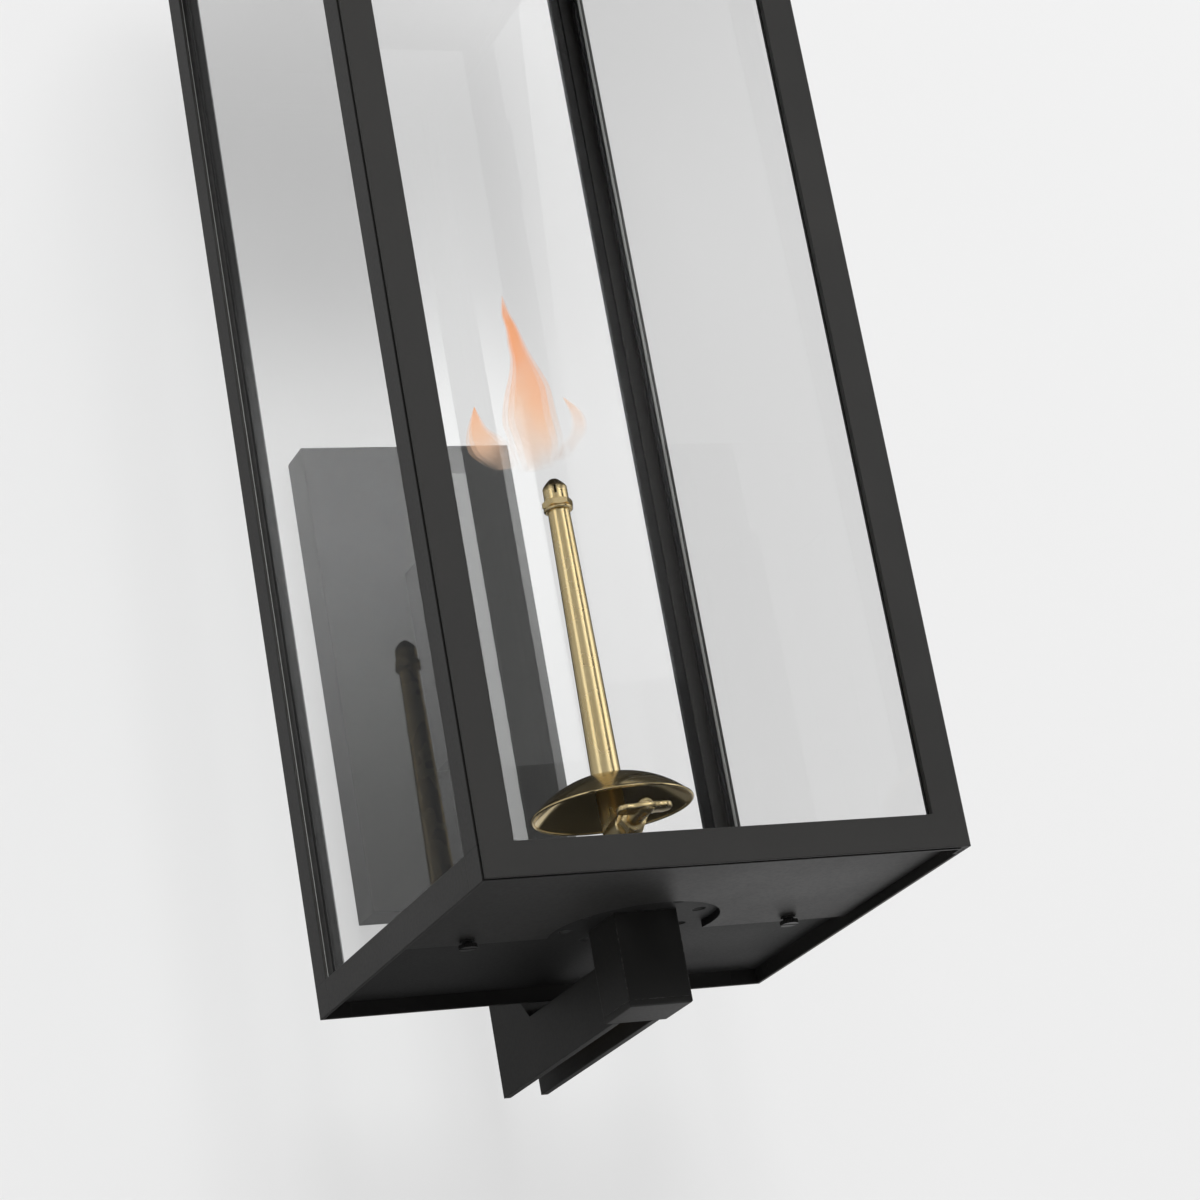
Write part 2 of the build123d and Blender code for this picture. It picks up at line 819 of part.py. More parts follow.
nodes = {
    **corner_posts(),
    **rails(),
    **fixed_panes(),
    "door_magnets": door_magnets(),
    "floor_plate": floor_plate(),
    "access_plate": access_plate(),
    "access_thumb_screws": access_thumb_screws(),
    "access_nuts": access_nuts(),
    "bottom_glazing_beads": beads(floor_top, floor_top + bead_height),
    "top_glazing_beads": beads(door_opening_high, body_height),
    "door_frame": door_frame(),
    "door_glass": door_glass(),
    "door_glass_retainer": door_glass_retainer(),
    "hinge_leaves_door": group(hinge_leaf(level, -1, [1]) for level in hinge_levels),
    "hinge_leaves_post": group(hinge_leaf(level, 1, [0, 2]) for level in hinge_levels),
    "hinge_pins": hinge_pins(),
    "stem_tube": stem_tube(),
    "stem_cap": stem_cap(),
    "bracket_channel": bracket_channel(),
    "bracket_foot": bracket_foot(),
    "foot_bolts": foot_bolts(),
    "backplate": backplate(),
    "mounting_strap": mounting_strap(),
    "mounting_studs": mounting_studs(),
    "cap_nuts": cap_nuts(),
    "gas_supply_tube": gas_supply_tube(),
    "gas_inlet_fitting": gas_inlet_fitting(),
    "valve_body": valve_body(),
    "packing_nut": packing_nut(),
    "valve_key": valve_key(),
    "burner_dish": burner_dish(),
    "burner_tube": burner_tube(),
    "burner_collar": burner_collar(),
    "burner_tip": burner_tip(),
    "top_plate": top_plate(),
    "roof_shell": roof_shell(),
    "roof_blocks": roof_blocks(),
    "roof_screws": roof_screws(),
    "vent_collar": vent_collar(),
    "vent_standoffs": vent_standoffs(),
    "vent_cap": vent_cap(),
    "cap_screws": cap_screws(),
}

os.makedirs("parts", exist_ok=True)
for name, shape in nodes.items():
    export_step(seat * shape, f"parts/{name}.step")
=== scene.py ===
import json
import logging
import math
from dataclasses import dataclass
from enum import Enum
from functools import reduce
from typing import Any, Callable, Dict, List, Optional, Sequence, Tuple, Union

import bmesh
import bpy
from mathutils import Matrix, Vector


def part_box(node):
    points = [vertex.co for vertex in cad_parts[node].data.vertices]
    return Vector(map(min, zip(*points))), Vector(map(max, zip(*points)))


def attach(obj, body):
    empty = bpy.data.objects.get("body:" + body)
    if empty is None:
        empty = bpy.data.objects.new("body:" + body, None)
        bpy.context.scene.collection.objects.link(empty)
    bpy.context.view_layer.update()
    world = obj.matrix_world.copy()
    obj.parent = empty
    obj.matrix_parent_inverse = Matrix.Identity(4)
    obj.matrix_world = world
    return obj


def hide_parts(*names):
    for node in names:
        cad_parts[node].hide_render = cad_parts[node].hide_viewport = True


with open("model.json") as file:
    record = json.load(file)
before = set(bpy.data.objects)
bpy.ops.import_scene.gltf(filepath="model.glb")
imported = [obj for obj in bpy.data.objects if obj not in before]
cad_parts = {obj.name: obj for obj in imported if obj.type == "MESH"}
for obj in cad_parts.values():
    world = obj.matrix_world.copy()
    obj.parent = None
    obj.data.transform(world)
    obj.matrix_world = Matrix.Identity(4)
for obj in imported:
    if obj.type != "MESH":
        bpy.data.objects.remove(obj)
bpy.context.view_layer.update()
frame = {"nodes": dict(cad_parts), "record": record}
LOG = logging.getLogger("gas_lantern")

MM = 0.001
Point = Tuple[float, float, float]
Colour = Tuple[float, float, float]
Spot = Tuple[float, float]
Rows = List[List[Vector]]
Thing = bpy.types.Object


class Body(Enum):
    """The moving groups of the lantern."""

    LANTERN = "lantern"
    DOOR = "door"
    KEY = "valve_key"


class Slot(Enum):
    """The record's material slots."""

    BLACK = "black_metal"
    HARDWARE = "black_hardware"
    ZINC = "zinc_steel"
    GLASS = "clear_glass"
    BRASS = "brass"
    HEATED = "heated_brass"


class Axis(Enum):
    """Directions that a turned piece runs along."""

    UP = "Z"
    DEEP = "Y"


def lantern_foot() -> Vector:
    """The lantern's axis at the body's lower edge, read from the solids."""
    stem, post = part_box("stem_tube"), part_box("post_rear_left")
    return Vector((0.0, (stem[0].y + stem[1].y) / 2, post[0].z))


FOOT = lantern_foot()


def at(x: float, y: float, z: float) -> Vector:
    """A point given in millimetres from the lantern's foot, in metres."""
    return FOOT + Vector((x, y, z)) * MM


def grey(tone: float) -> Colour:
    """A colour with no hue."""
    return (tone, tone, tone)


def maths(operation: str, flipped: bool = False) -> Callable[..., "Sock"]:
    """A method of a socket that adds one Math node.

    Args:
        operation: the node's operation.
        flipped: puts the socket second.

    Returns:
        The method.
    """
    def method(sock: "Sock", other: Any = 0.0) -> "Sock":
        """Adds the node and returns its result."""
        pair = (other, sock) if flipped else (sock, other)
        return sock.graph.add("ShaderNodeMath", dict(enumerate(pair)), operation=operation)[0]

    return method


class Sock:
    """A node's output, on which sums and products add Math nodes."""

    def __init__(self, graph: "Graph", socket: bpy.types.NodeSocket) -> None:
        """Keeps the graph and the socket."""
        self.graph = graph
        self.socket = socket

    __add__ = __radd__ = maths("ADD")
    __sub__ = maths("SUBTRACT")
    __rsub__ = maths("SUBTRACT", flipped=True)
    __mul__ = __rmul__ = maths("MULTIPLY")
    __truediv__ = maths("DIVIDE")
    __mod__ = maths("MODULO")
    __abs__ = maths("ABSOLUTE")
    larger = maths("MAXIMUM")

    def ramp(self, low: float, high: float, to_low: float = 0.0, to_high: float = 1.0) -> "Sock":
        """Maps a span smoothly onto another.

        Args:
            low: value that gives to_low.
            high: value that gives to_high.
            to_low: result at the low end.
            to_high: result at the high end.

        Returns:
            The mapped value's socket.
        """
        spans = {"Value": self, "From Min": low, "From Max": high, "To Min": to_low, "To Max": to_high}
        return self.graph.add("ShaderNodeMapRange", spans, interpolation_type="SMOOTHSTEP")["Result"]


class Made:
    """A node that has been added, with its outputs by name or number."""

    def __init__(self, graph: "Graph", node: bpy.types.Node) -> None:
        """Keeps the graph and the node."""
        self.graph = graph
        self.node = node

    def __getitem__(self, key: Union[str, int]) -> Sock:
        """One output as a socket that takes part in sums."""
        return Sock(self.graph, self.node.outputs[key])


class Graph:
    """A shader or geometry tree that nodes are added to."""

    def __init__(self, tree: bpy.types.NodeTree) -> None:
        """Keeps the tree."""
        self.tree = tree

    def add(self, kind: str, inputs: Optional[Dict[Union[str, int], Any]] = None, **settings: Any) -> Made:
        """Adds one node.

        Args:
            kind: the node's type.
            inputs: values or sockets by input name or number; a list joins several sockets.
            settings: properties set first; "stops" fills a colour ramp.

        Returns:
            The node that was made.
        """
        node = self.tree.nodes.new(kind)
        for key, value in settings.items():
            if key == "stops":
                self._stops(node, value)
            else:
                setattr(node, key, value)
        for key, value in (inputs or {}).items():
            entry = node.inputs[key]
            for part in value if isinstance(value, list) else [value]:
                if isinstance(part, Sock):
                    self.tree.links.new(part.socket, entry)
                else:
                    entry.default_value = (*part, 1.0) if entry.type == "RGBA" else part
        return Made(self, node)

    @staticmethod
    def _stops(node: bpy.types.Node, stops: Sequence[Tuple[float, Colour]]) -> None:
        """Gives a colour ramp its stops."""
        elements = node.color_ramp.elements
        while len(elements) < len(stops):
            elements.new(0.5)
        for element, (place, colour) in zip(elements, stops):
            element.position = place
            element.color = (*colour, 1.0)

    def mix(self, factor: Any, first: Any, second: Any) -> Sock:
        """Blends two colours by a factor, which is the second one's share."""
        return self.add("ShaderNodeMix", {0: factor, 6: first, 7: second}, data_type="RGBA")[2]

    def blend(self, factor: Any, first: Sock, second: Sock) -> Sock:
        """Blends two shaders by a factor, which is the second one's share."""
        return self.add("ShaderNodeMixShader", {0: factor, 1: first, 2: second})[0]

    def noise(self, vector: Sock, scale: float, detail: float = 2.0, rough: float = 0.5) -> Sock:
        """Noise value on a vector.

        Args:
            vector: coordinates.
            scale: features per metre.
            detail: octaves.
            rough: weight of the finer octaves.

        Returns:
            The noise factor's socket.
        """
        inputs = {"Vector": vector, "Scale": scale, "Detail": detail, "Roughness": rough}
        return self.add("ShaderNodeTexNoise", inputs)["Fac"]

    def place(self) -> Sock:
        """Object coordinates in metres."""
        return self.add("ShaderNodeTexCoord")["Object"]

    def stretched(self, vector: Sock, scale: Point) -> Sock:
        """Coordinates scaled apart on each axis."""
        return self.add("ShaderNodeMapping", {"Vector": vector, "Scale": scale})["Vector"]

    def split(self, vector: Sock) -> Made:
        """The parts of a vector by the names X, Y and Z."""
        return self.add("ShaderNodeSeparateXYZ", {0: vector})

    def vector(self, x: Any = 0.0, y: Any = 0.0, z: Any = 0.0) -> Sock:
        """A vector from its parts."""
        return self.add("ShaderNodeCombineXYZ", {0: x, 1: y, 2: z})[0]

    def vectors(self, operation: str, first: Any, second: Any = (0.0, 0.0, 0.0)) -> Made:
        """One Vector Math node."""
        return self.add("ShaderNodeVectorMath", {0: first, 1: second}, operation=operation)

    def principled(self, inputs: Dict[Union[str, int], Any]) -> Sock:
        """A Principled shader."""
        return self.add("ShaderNodeBsdfPrincipled", inputs)["BSDF"]


@dataclass(frozen=True)
class Finish:
    """A surface finish; each kind fills its own shader tree."""

    name: str

    def material(self) -> bpy.types.Material:
        """The finish as a material, made on first use."""
        found = bpy.data.materials.get(self.name)
        if found:
            return found
        made = bpy.data.materials.new(self.name)
        made.use_nodes = True
        made.node_tree.nodes.clear()
        graph = Graph(made.node_tree)
        graph.add("ShaderNodeOutputMaterial", {"Surface": self.shade(graph)})
        return made

    def shade(self, graph: Graph) -> Sock:
        """Adds the finish's nodes.

        Args:
            graph: the material's tree.

        Returns:
            The shader's socket.
        """
        raise NotImplementedError

    @staticmethod
    def rounded(graph: Graph, radius: float) -> Tuple[Sock, Sock]:
        """Normals that run round the edges, and a mask of those edges.

        Args:
            graph: the material's tree.
            radius: edge radius in metres.

        Returns:
            The rounded normal and the edge mask.
        """
        soft = graph.add("ShaderNodeBevel", {"Radius": radius}, samples=6)["Normal"]
        plain = graph.add("ShaderNodeNewGeometry")["Normal"]
        return soft, (1.0 - graph.vectors("DOT_PRODUCT", soft, plain)["Value"]).ramp(0.01, 0.2)


@dataclass(frozen=True)
class SatinBlack(Finish):
    """Satin black powder coat with faint orange peel, paler edges that are partly wear and partly painted
    highlight, and dark seams at given heights.
    """

    dark: Colour = (0.019, 0.0185, 0.0175)
    pale: Colour = (0.026, 0.0252, 0.0238)
    wear_and_highlight: Colour = (0.07, 0.068, 0.064)
    roughness: float = 0.46
    edge: float = 0.0007
    seams: Tuple[float, ...] = ()

    CLOUDS, FLECKS, PEEL = 14.0, 520.0, 1300.0
    WEAR, SEAM_SHARE = 0.55, 0.75
    SEAM_CORE, SEAM_END = 0.00012, 0.00045

    def shade(self, graph: Graph) -> Sock:
        """Adds the coat's nodes and returns its shader."""
        where = graph.place()
        cloud = graph.noise(where, self.CLOUDS, 4.0)
        fleck = graph.noise(where, self.FLECKS)
        peel = graph.noise(where, self.PEEL, 1.0)
        normal, edges = self.rounded(graph, self.edge)
        tone = graph.mix(cloud.ramp(0.3, 0.7), self.dark, self.pale)
        # paler edge colour: partly wear, partly a painted highlight along the edges
        tone = graph.mix(edges * fleck.ramp(0.35, 0.75) * self.WEAR, tone, self.wear_and_highlight)
        if self.seams:
            height = graph.split(where)["Z"]
            lines = [abs(height - z).ramp(self.SEAM_CORE, self.SEAM_END, 1.0, 0.0) for z in self.seams]
            tone = graph.mix(reduce(Sock.larger, lines) * self.SEAM_SHARE, tone, grey(0.004))
        rough = self.roughness + cloud.ramp(0.25, 0.75, -0.04, 0.05) + fleck.ramp(0.3, 0.8, 0.0, 0.05)
        relief = {"Strength": 0.12, "Distance": 0.0002, "Height": peel, "Normal": normal}
        bump = graph.add("ShaderNodeBump", relief)["Normal"]
        return graph.principled({"Base Color": tone, "Roughness": rough, "Normal": bump})


@dataclass(frozen=True)
class ZincSteel(Finish):
    """Zinc-plated steel with a spangled grain."""

    def shade(self, graph: Graph) -> Sock:
        """Adds the plating's nodes and returns its shader."""
        where = graph.place()
        grain = graph.add("ShaderNodeTexVoronoi", {"Vector": where, "Scale": 240.0})["Color"]
        value = graph.add("ShaderNodeSeparateColor", {"Color": grain})["Red"]
        streak = graph.noise(graph.stretched(where, (60.0, 60.0, 1500.0)), 1.0, 3.0)
        tone = graph.mix(value, (0.42, 0.43, 0.45), (0.62, 0.63, 0.65))
        rough = 0.3 + value * 0.16 + streak.ramp(0.3, 0.7, 0.0, 0.08)
        normal, _ = self.rounded(graph, 0.0003)
        return graph.principled({"Base Color": tone, "Metallic": 1.0, "Roughness": rough, "Normal": normal})


@dataclass(frozen=True)
class PaleTape(Finish):
    """White glazing tape with a fine foam grain."""

    def shade(self, graph: Graph) -> Sock:
        """Adds the tape's nodes and returns its shader."""
        grain = graph.noise(graph.place(), 900.0)
        tone = graph.mix(grain.ramp(0.3, 0.7), (0.82, 0.82, 0.8), (0.92, 0.92, 0.91))
        return graph.principled({"Base Color": tone, "Roughness": grain.ramp(0.3, 0.7, 0.4, 0.6)})


@dataclass(frozen=True)
class ClearGlass(Finish):
    """Clear float glass with a trace of film, which shadows pass; its tint may darken upwards as painted
    shade, and a sealed pane's laps are dark.
    """

    tint_and_shade: Colour = (0.93, 0.935, 0.933)
    ior: float = 1.3
    sealed: float = 0.0
    top_shade: float = 1.0

    LAP, SEAL, SOFT = 0.0054, 0.0003, 0.0002
    LAP_SHARE = 0.6

    def shade(self, graph: Graph) -> Sock:
        """Adds the glass's nodes and returns its shader."""
        where = graph.place()
        film = graph.noise(graph.stretched(where, (9.0, 9.0, 3.0)), 1.0, 5.0, 0.6)
        place = graph.split(where)
        shaded_top_tint = tuple(value * self.top_shade for value in self.tint_and_shade)
        pane = graph.principled({
            # the colour darkening towards the top is painted shade of the roof's shadow
            "Base Color": graph.mix(place["Z"].ramp(0.12, 0.36), self.tint_and_shade, shaded_top_tint),
            "Roughness": film.ramp(0.5, 0.85, 0.0, 0.004), "IOR": self.ior, "Transmission Weight": 1.0,
        })
        if self.sealed:
            pane = self.seal(graph, place["X"], pane)
        clear = graph.add("ShaderNodeBsdfTransparent", {"Color": (0.97, 0.975, 0.973)})["BSDF"]
        path = graph.add("ShaderNodeLightPath")
        mirrored = path["Is Glossy Ray"] - path["Is Transmission Ray"]
        passing = path["Is Shadow Ray"].larger(path["Is Diffuse Ray"]).larger(mirrored)
        return graph.blend(passing, pane, clear)

    def seal(self, graph: Graph, x: Sock, pane: Sock) -> Sock:
        """Keeps the far face from mirroring on its left part, and blackens the upright laps.

        Args:
            graph: the material's tree.
            x: place from left to right.
            pane: the plain pane's shader.

        Returns:
            The sealed pane's shader.
        """
        bent = {"Color": grey(0.985), "Roughness": 0.0, "IOR": self.ior}
        plain = graph.add("ShaderNodeBsdfRefraction", bent)[0]
        far = graph.add("ShaderNodeNewGeometry")["Backfacing"] * x.ramp(-0.03, -0.01, 1.0, 0.4)
        pane = graph.blend(far, pane, plain)
        edge, lap = (
            (x * x).ramp((self.sealed - deep) ** 2, (self.sealed - deep + self.SOFT) ** 2)
            for deep in (self.SEAL, self.LAP)
        )
        black = graph.add("ShaderNodeBsdfDiffuse", {"Color": grey(0.012)})["BSDF"]
        return graph.blend(edge.larger(lap * self.LAP_SHARE), pane, black)


@dataclass(frozen=True)
class Brass(Finish):
    """Lacquered brass; heat may stain its upper end, and everything within a radius of the axis is darkened
    too.
    """

    roughness: float = 0.27
    stain_low: float = 0.0
    stain_high: float = 0.0
    core: float = 0.0

    BRIGHT, DEEP, SOOT = (0.86, 0.69, 0.38), (0.83, 0.65, 0.345), (0.05, 0.035, 0.018)
    WANDER, CORE_SOFT = 0.004, 0.0004

    def shade(self, graph: Graph) -> Sock:
        """Adds the brass's nodes and returns its shader."""
        where = graph.place()
        cloud = graph.noise(where, 60.0)
        tone = graph.mix(cloud.ramp(0.3, 0.7), self.DEEP, self.BRIGHT)
        rough = self.roughness + cloud.ramp(0.4, 0.8, 0.0, 0.03)
        if self.stain_high > self.stain_low:
            wander = graph.noise(where, 420.0, 3.0) * self.WANDER
            stain = (graph.split(where)["Z"] + wander).ramp(self.stain_low, self.stain_high)
            # darkens everything within the core radius of the axis, such as the tip's slots
            if self.core:
                off = graph.stretched(graph.vectors("SUBTRACT", where, tuple(FOOT))[0], (1.0, 1.0, 0.0))
                away = graph.vectors("LENGTH", off)["Value"]
                stain = stain.larger(away.ramp(self.core - self.CORE_SOFT, self.core, 1.0, 0.0))
            tone = graph.mix(stain * 0.92, tone, self.SOOT)
            rough = rough + stain * 0.25
        return graph.principled({"Base Color": tone, "Metallic": 1.0, "Roughness": rough})


@dataclass(frozen=True)
class StagePaint(Finish):
    """Pale backdrop paint, partly self-lit where it is seen, and clear from behind."""

    tone: float = 0.85
    lit: float = 0.72
    shine: float = 1.0

    GLOW = 0.88

    def shade(self, graph: Graph) -> Sock:
        """Adds the backdrop's nodes and returns its shader."""
        paint = graph.add("ShaderNodeBsdfDiffuse", {"Color": grey(self.tone)})["BSDF"]
        white = graph.add("ShaderNodeEmission", {"Color": grey(self.GLOW)})[0]
        clear = graph.add("ShaderNodeBsdfTransparent")["BSDF"]
        path = graph.add("ShaderNodeLightPath")
        seen = path["Is Camera Ray"].larger(path["Is Transmission Ray"])
        seen = seen.larger(path["Is Glossy Ray"] * self.shine)
        behind = graph.add("ShaderNodeNewGeometry")["Backfacing"]
        return graph.blend(behind, graph.blend(seen * self.lit, paint, white), clear)


@dataclass(frozen=True)
class CardPaint(Finish):
    """Grey card that pales upwards and fades out at its top."""

    dark: float
    pale: float

    LOW, HIGH = 0.6, 1.3
    FADE, GONE = 1.3, 1.65

    def shade(self, graph: Graph) -> Sock:
        """Adds the card's nodes and returns its shader."""
        height = graph.split(graph.place())["Z"]
        tone = height.ramp(self.LOW, self.HIGH, self.dark, self.pale)
        tone = tone * height.ramp(self.FADE, self.GONE, 1.0, 0.0)
        colour = graph.add("ShaderNodeCombineColor", {0: tone, 1: tone, 2: tone})[0]
        shine = graph.add("ShaderNodeEmission", {"Color": colour})[0]
        clear = graph.add("ShaderNodeBsdfTransparent")["BSDF"]
        return graph.blend(graph.add("ShaderNodeLightPath")["Is Transmission Ray"], shine, clear)


FINISHES: Dict[Slot, Finish] = {
    Slot.BLACK: SatinBlack("satin_black_coat"),
    Slot.HARDWARE: SatinBlack("black_fastener", dark=grey(0.014), roughness=0.36, edge=0.0003),
    Slot.ZINC: ZincSteel("zinc_plating"),
    Slot.GLASS: ClearGlass("clear_pane"),
    Slot.BRASS: Brass("lacquered_brass"),
    Slot.HEATED: Brass("heated_brass_solid", stain_low=0.0268, stain_high=0.0298),
}
LACQUERED = FINISHES[Slot.BRASS]
BLACKED = FINISHES[Slot.HARDWARE]
SMOOTH_CREASE, SHARP_CREASE = 34.0, 24.0


def added(name: str, data: Any) -> Thing:
    """A new object in the scene."""
    obj = bpy.data.objects.new(name, data)
    bpy.context.scene.collection.objects.link(obj)
    return obj


def dress(obj: Thing, finish: Finish) -> None:
    """Gives an object one finish on all its faces."""
    obj.data.materials.clear()
    obj.data.materials.append(finish.material())


def smooth(obj: Thing, finish: Finish, crease: float) -> Thing:
    """Dresses a new piece and shades it smooth.

    Args:
        obj: the piece.
        finish: its finish.
        crease: edges sharper than this many degrees stay sharp.

    Returns:
        The piece.
    """
    obj.data.shade_smooth()
    obj.data.set_sharp_from_angle(angle=math.radians(crease))
    dress(obj, finish)
    return obj


def seat(piece: Thing, body: Body, slot: Optional[Slot] = None, *nodes: str) -> None:
    """Fixes a finished piece to a body and hides the solids that it stands for.

    Args:
        piece: the piece.
        body: the moving group that it rides on.
        slot: the record's slot for its finish, if it has one; not used.
        nodes: solids that it replaces.
    """
    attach(piece, body.value)
    if nodes:
        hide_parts(*nodes)
    LOG.info("%s: %d faces on %s", piece.name, len(piece.data.polygons), body.value)


def polar(centre: Vector, axis: Axis, radius: float, angle: float, along: float) -> Vector:
    """A point round an axis, from a radius and a distance along it in millimetres."""
    side = (radius * math.cos(angle), radius * math.sin(angle))
    return centre + Vector((*side, along) if axis is Axis.UP else (side[0], along, side[1])) * MM


def turned(profile: Sequence[Spot], centre: Vector, axis: Axis = Axis.UP, count: int = 128) -> Rows:
    """Rows of points for a piece turned about an axis.

    Args:
        profile: radius and distance along the axis, in millimetres.
        centre: where the axis starts, in metres.
        axis: the axis' direction.
        count: points round.

    Returns:
        One row of points for each profile point.
    """
    angles = [2 * math.pi * step / count for step in range(count)]
    return [[polar(centre, axis, radius, a, along) for a in angles] for radius, along in profile]


def hexed(
    across: float, low: float, high: float, centre: Vector, axis: Axis = Axis.UP, phase: float = 0.0
) -> Rows:
    """Rows of points for a hexagon nut with chamfered corners.

    Args:
        across: width across flats, in millimetres.
        low: lower end along the axis.
        high: upper end along the axis.
        centre: where the axis starts, in metres.
        axis: the axis' direction.
        phase: turn of the flats in degrees.

    Returns:
        The rows from the lower face to the upper face.
    """
    flat, count, chamfer = across / 2, 120, math.tan(math.radians(30.0))
    face = flat * 0.97
    rows: Rows = [[], [], [], []]
    for turn in (360.0 / count * step for step in range(count)):
        corner = flat / math.cos(math.radians((turn + phase) % 60.0 - 30.0))
        fall = (corner - flat) * chamfer
        section = ((face, low), (corner, low + fall), (corner, high - fall), (face, high))
        for row, (radius, along) in zip(rows, section):
            row.append(polar(centre, axis, radius, math.radians(turn), along))
    return rows


def arc(radius: float, centre: Spot, start: float, end: float, count: int) -> List[Spot]:
    """Points on an arc in the half section.

    Args:
        radius: the arc's radius.
        centre: its centre as radius and height.
        start: first angle in degrees.
        end: last angle in degrees.
        count: number of points.

    Returns:
        The points in order.
    """
    angles = [math.radians(start + (end - start) * i / (count - 1)) for i in range(count)]
    return [(max(0.0, centre[0] + radius * math.cos(a)), centre[1] + radius * math.sin(a)) for a in angles]


class Shape:
    """Points and faces gathered for one piece."""

    MERGE = 1e-7

    def __init__(self) -> None:
        """Starts empty."""
        self.points: List[Vector] = []
        self.faces: List[Tuple[int, ...]] = []

    def skin(self, rows: Rows, loop: bool = False) -> "Shape":
        """Skins rows of points that each run once round.

        Args:
            rows: rows with the same number of points.
            loop: joins the last row to the first instead of capping both ends.

        Returns:
            The shape itself.
        """
        start, count, total = len(self.points), len(rows[0]), len(rows)
        for row in rows:
            self.points.extend(row)
        for i in range(total if loop else total - 1):
            near, far = start + i * count, start + (i + 1) % total * count
            for j in range(count):
                k = (j + 1) % count
                self.faces.append((near + j, near + k, far + k, far + j))
        if not loop:
            self.faces.append(tuple(start + j for j in reversed(range(count))))
            self.faces.append(tuple(start + (total - 1) * count + j for j in range(count)))
        return self

    def piece(self, name: str, finish: Finish, crease: float = SMOOTH_CREASE) -> Thing:
        """Makes the object.

        Args:
            name: the piece's name.
            finish: its finish.
            crease: edges sharper than this many degrees stay sharp.

        Returns:
            The finished object.
        """
        mesh = bpy.data.meshes.new(name)
        mesh.from_pydata(self.points, [], self.faces)
        work = bmesh.new()
        work.from_mesh(mesh)
        bmesh.ops.remove_doubles(work, verts=work.verts, dist=self.MERGE)
        bmesh.ops.recalc_face_normals(work, faces=work.faces)
        work.to_mesh(mesh)
        work.free()
        return smooth(added(name, mesh), finish, crease)


class Recipe:
    """A Geometry Nodes tree with named inputs, run once into a plain mesh."""

    KINDS = {int: "NodeSocketInt", float: "NodeSocketFloat", tuple: "NodeSocketVector"}

    def __init__(self, name: str, sizes: Dict[str, Any]) -> None:
        """Makes the tree.

        Args:
            name: the tree's name.
            sizes: values by input name.
        """
        self.tree = bpy.data.node_groups.new(name, "GeometryNodeTree")
        self.graph = Graph(self.tree)
        sockets = self.tree.interface
        sockets.new_socket("Geometry", in_out="OUTPUT", socket_type="NodeSocketGeometry")
        self.keys: Dict[str, str] = {}
        for label, value in sizes.items():
            item = sockets.new_socket(label, in_out="INPUT", socket_type=self.KINDS[type(value)])
            item.default_value = value
            self.keys[label] = item.identifier
        self.entry = self.graph.add("NodeGroupInput")

    def row(self, count: Any, start: Any, step: Any) -> Sock:
        """Points in a straight row."""
        inputs = {"Count": count, "Start Location": start, "Offset": step}
        return self.graph.add("GeometryNodeMeshLine", inputs, mode="OFFSET")[0]

    def rod(self, sides: int, radius: Any, depth: Any) -> Sock:
        """An upright cylinder about the origin."""
        inputs = {"Vertices": sides, "Radius": radius, "Depth": depth}
        return self.graph.add("GeometryNodeMeshCylinder", inputs)[0]

    def bar(self, size: Any) -> Sock:
        """A block about the origin."""
        return self.graph.add("GeometryNodeMeshCube", {"Size": size})[0]

    def moved(self, geometry: Sock, way: Any) -> Sock:
        """Geometry shifted by a vector."""
        return self.graph.add("GeometryNodeTransform", {"Geometry": geometry, "Translation": way})[0]

    def cut(self, geometry: Sock, tool: Sock) -> Sock:
        """Geometry with another one taken out of it."""
        return self.graph.add("GeometryNodeMeshBoolean", {0: geometry, 1: tool}, operation="DIFFERENCE")[0]

    def spread(self, points: Sock, piece: Sock, turn: Point = (0.0, 0.0, 0.0)) -> Sock:
        """One copy of a piece on each point."""
        inputs = {"Points": points, "Instance": piece, "Rotation": turn}
        return self.graph.add("GeometryNodeInstanceOnPoints", inputs)[0]

    def joined(self, parts: List[Sock]) -> Sock:
        """Several geometries as one."""
        return self.graph.add("GeometryNodeJoinGeometry", {0: parts})[0]

    def close(self, geometry: Sock, finish: Finish) -> "Recipe":
        """Ends the tree with real geometry and its material.

        Args:
            geometry: what the tree makes.
            finish: its finish.

        Returns:
            The recipe itself.
        """
        real = self.graph.add("GeometryNodeRealizeInstances", {0: geometry})[0]
        inputs = {"Geometry": real, "Material": finish.material()}
        self.graph.add("NodeGroupOutput", {0: self.graph.add("GeometryNodeSetMaterial", inputs)[0]})
        return self

    def run(
        self, name: str, sizes: Dict[str, Any], finish: Finish, crease: float = SMOOTH_CREASE
    ) -> Thing:
        """Runs the tree into a mesh.

        Args:
            name: the piece's name.
            sizes: values by input name.
            finish: the piece's finish.
            crease: edges sharper than this many degrees stay sharp.

        Returns:
            The piece, with no modifier left on it.
        """
        obj = added(name, bpy.data.meshes.new(name))
        modifier = obj.modifiers.new("recipe", "NODES")
        modifier.node_group = self.tree
        for label, value in sizes.items():
            modifier[self.keys[label]] = value
        graph = bpy.context.evaluated_depsgraph_get()
        mesh = bpy.data.meshes.new_from_object(obj.evaluated_get(graph), depsgraph=graph)
        obj.modifiers.remove(modifier)
        obj.data = mesh
        mesh.name = name
        return smooth(obj, finish, crease)


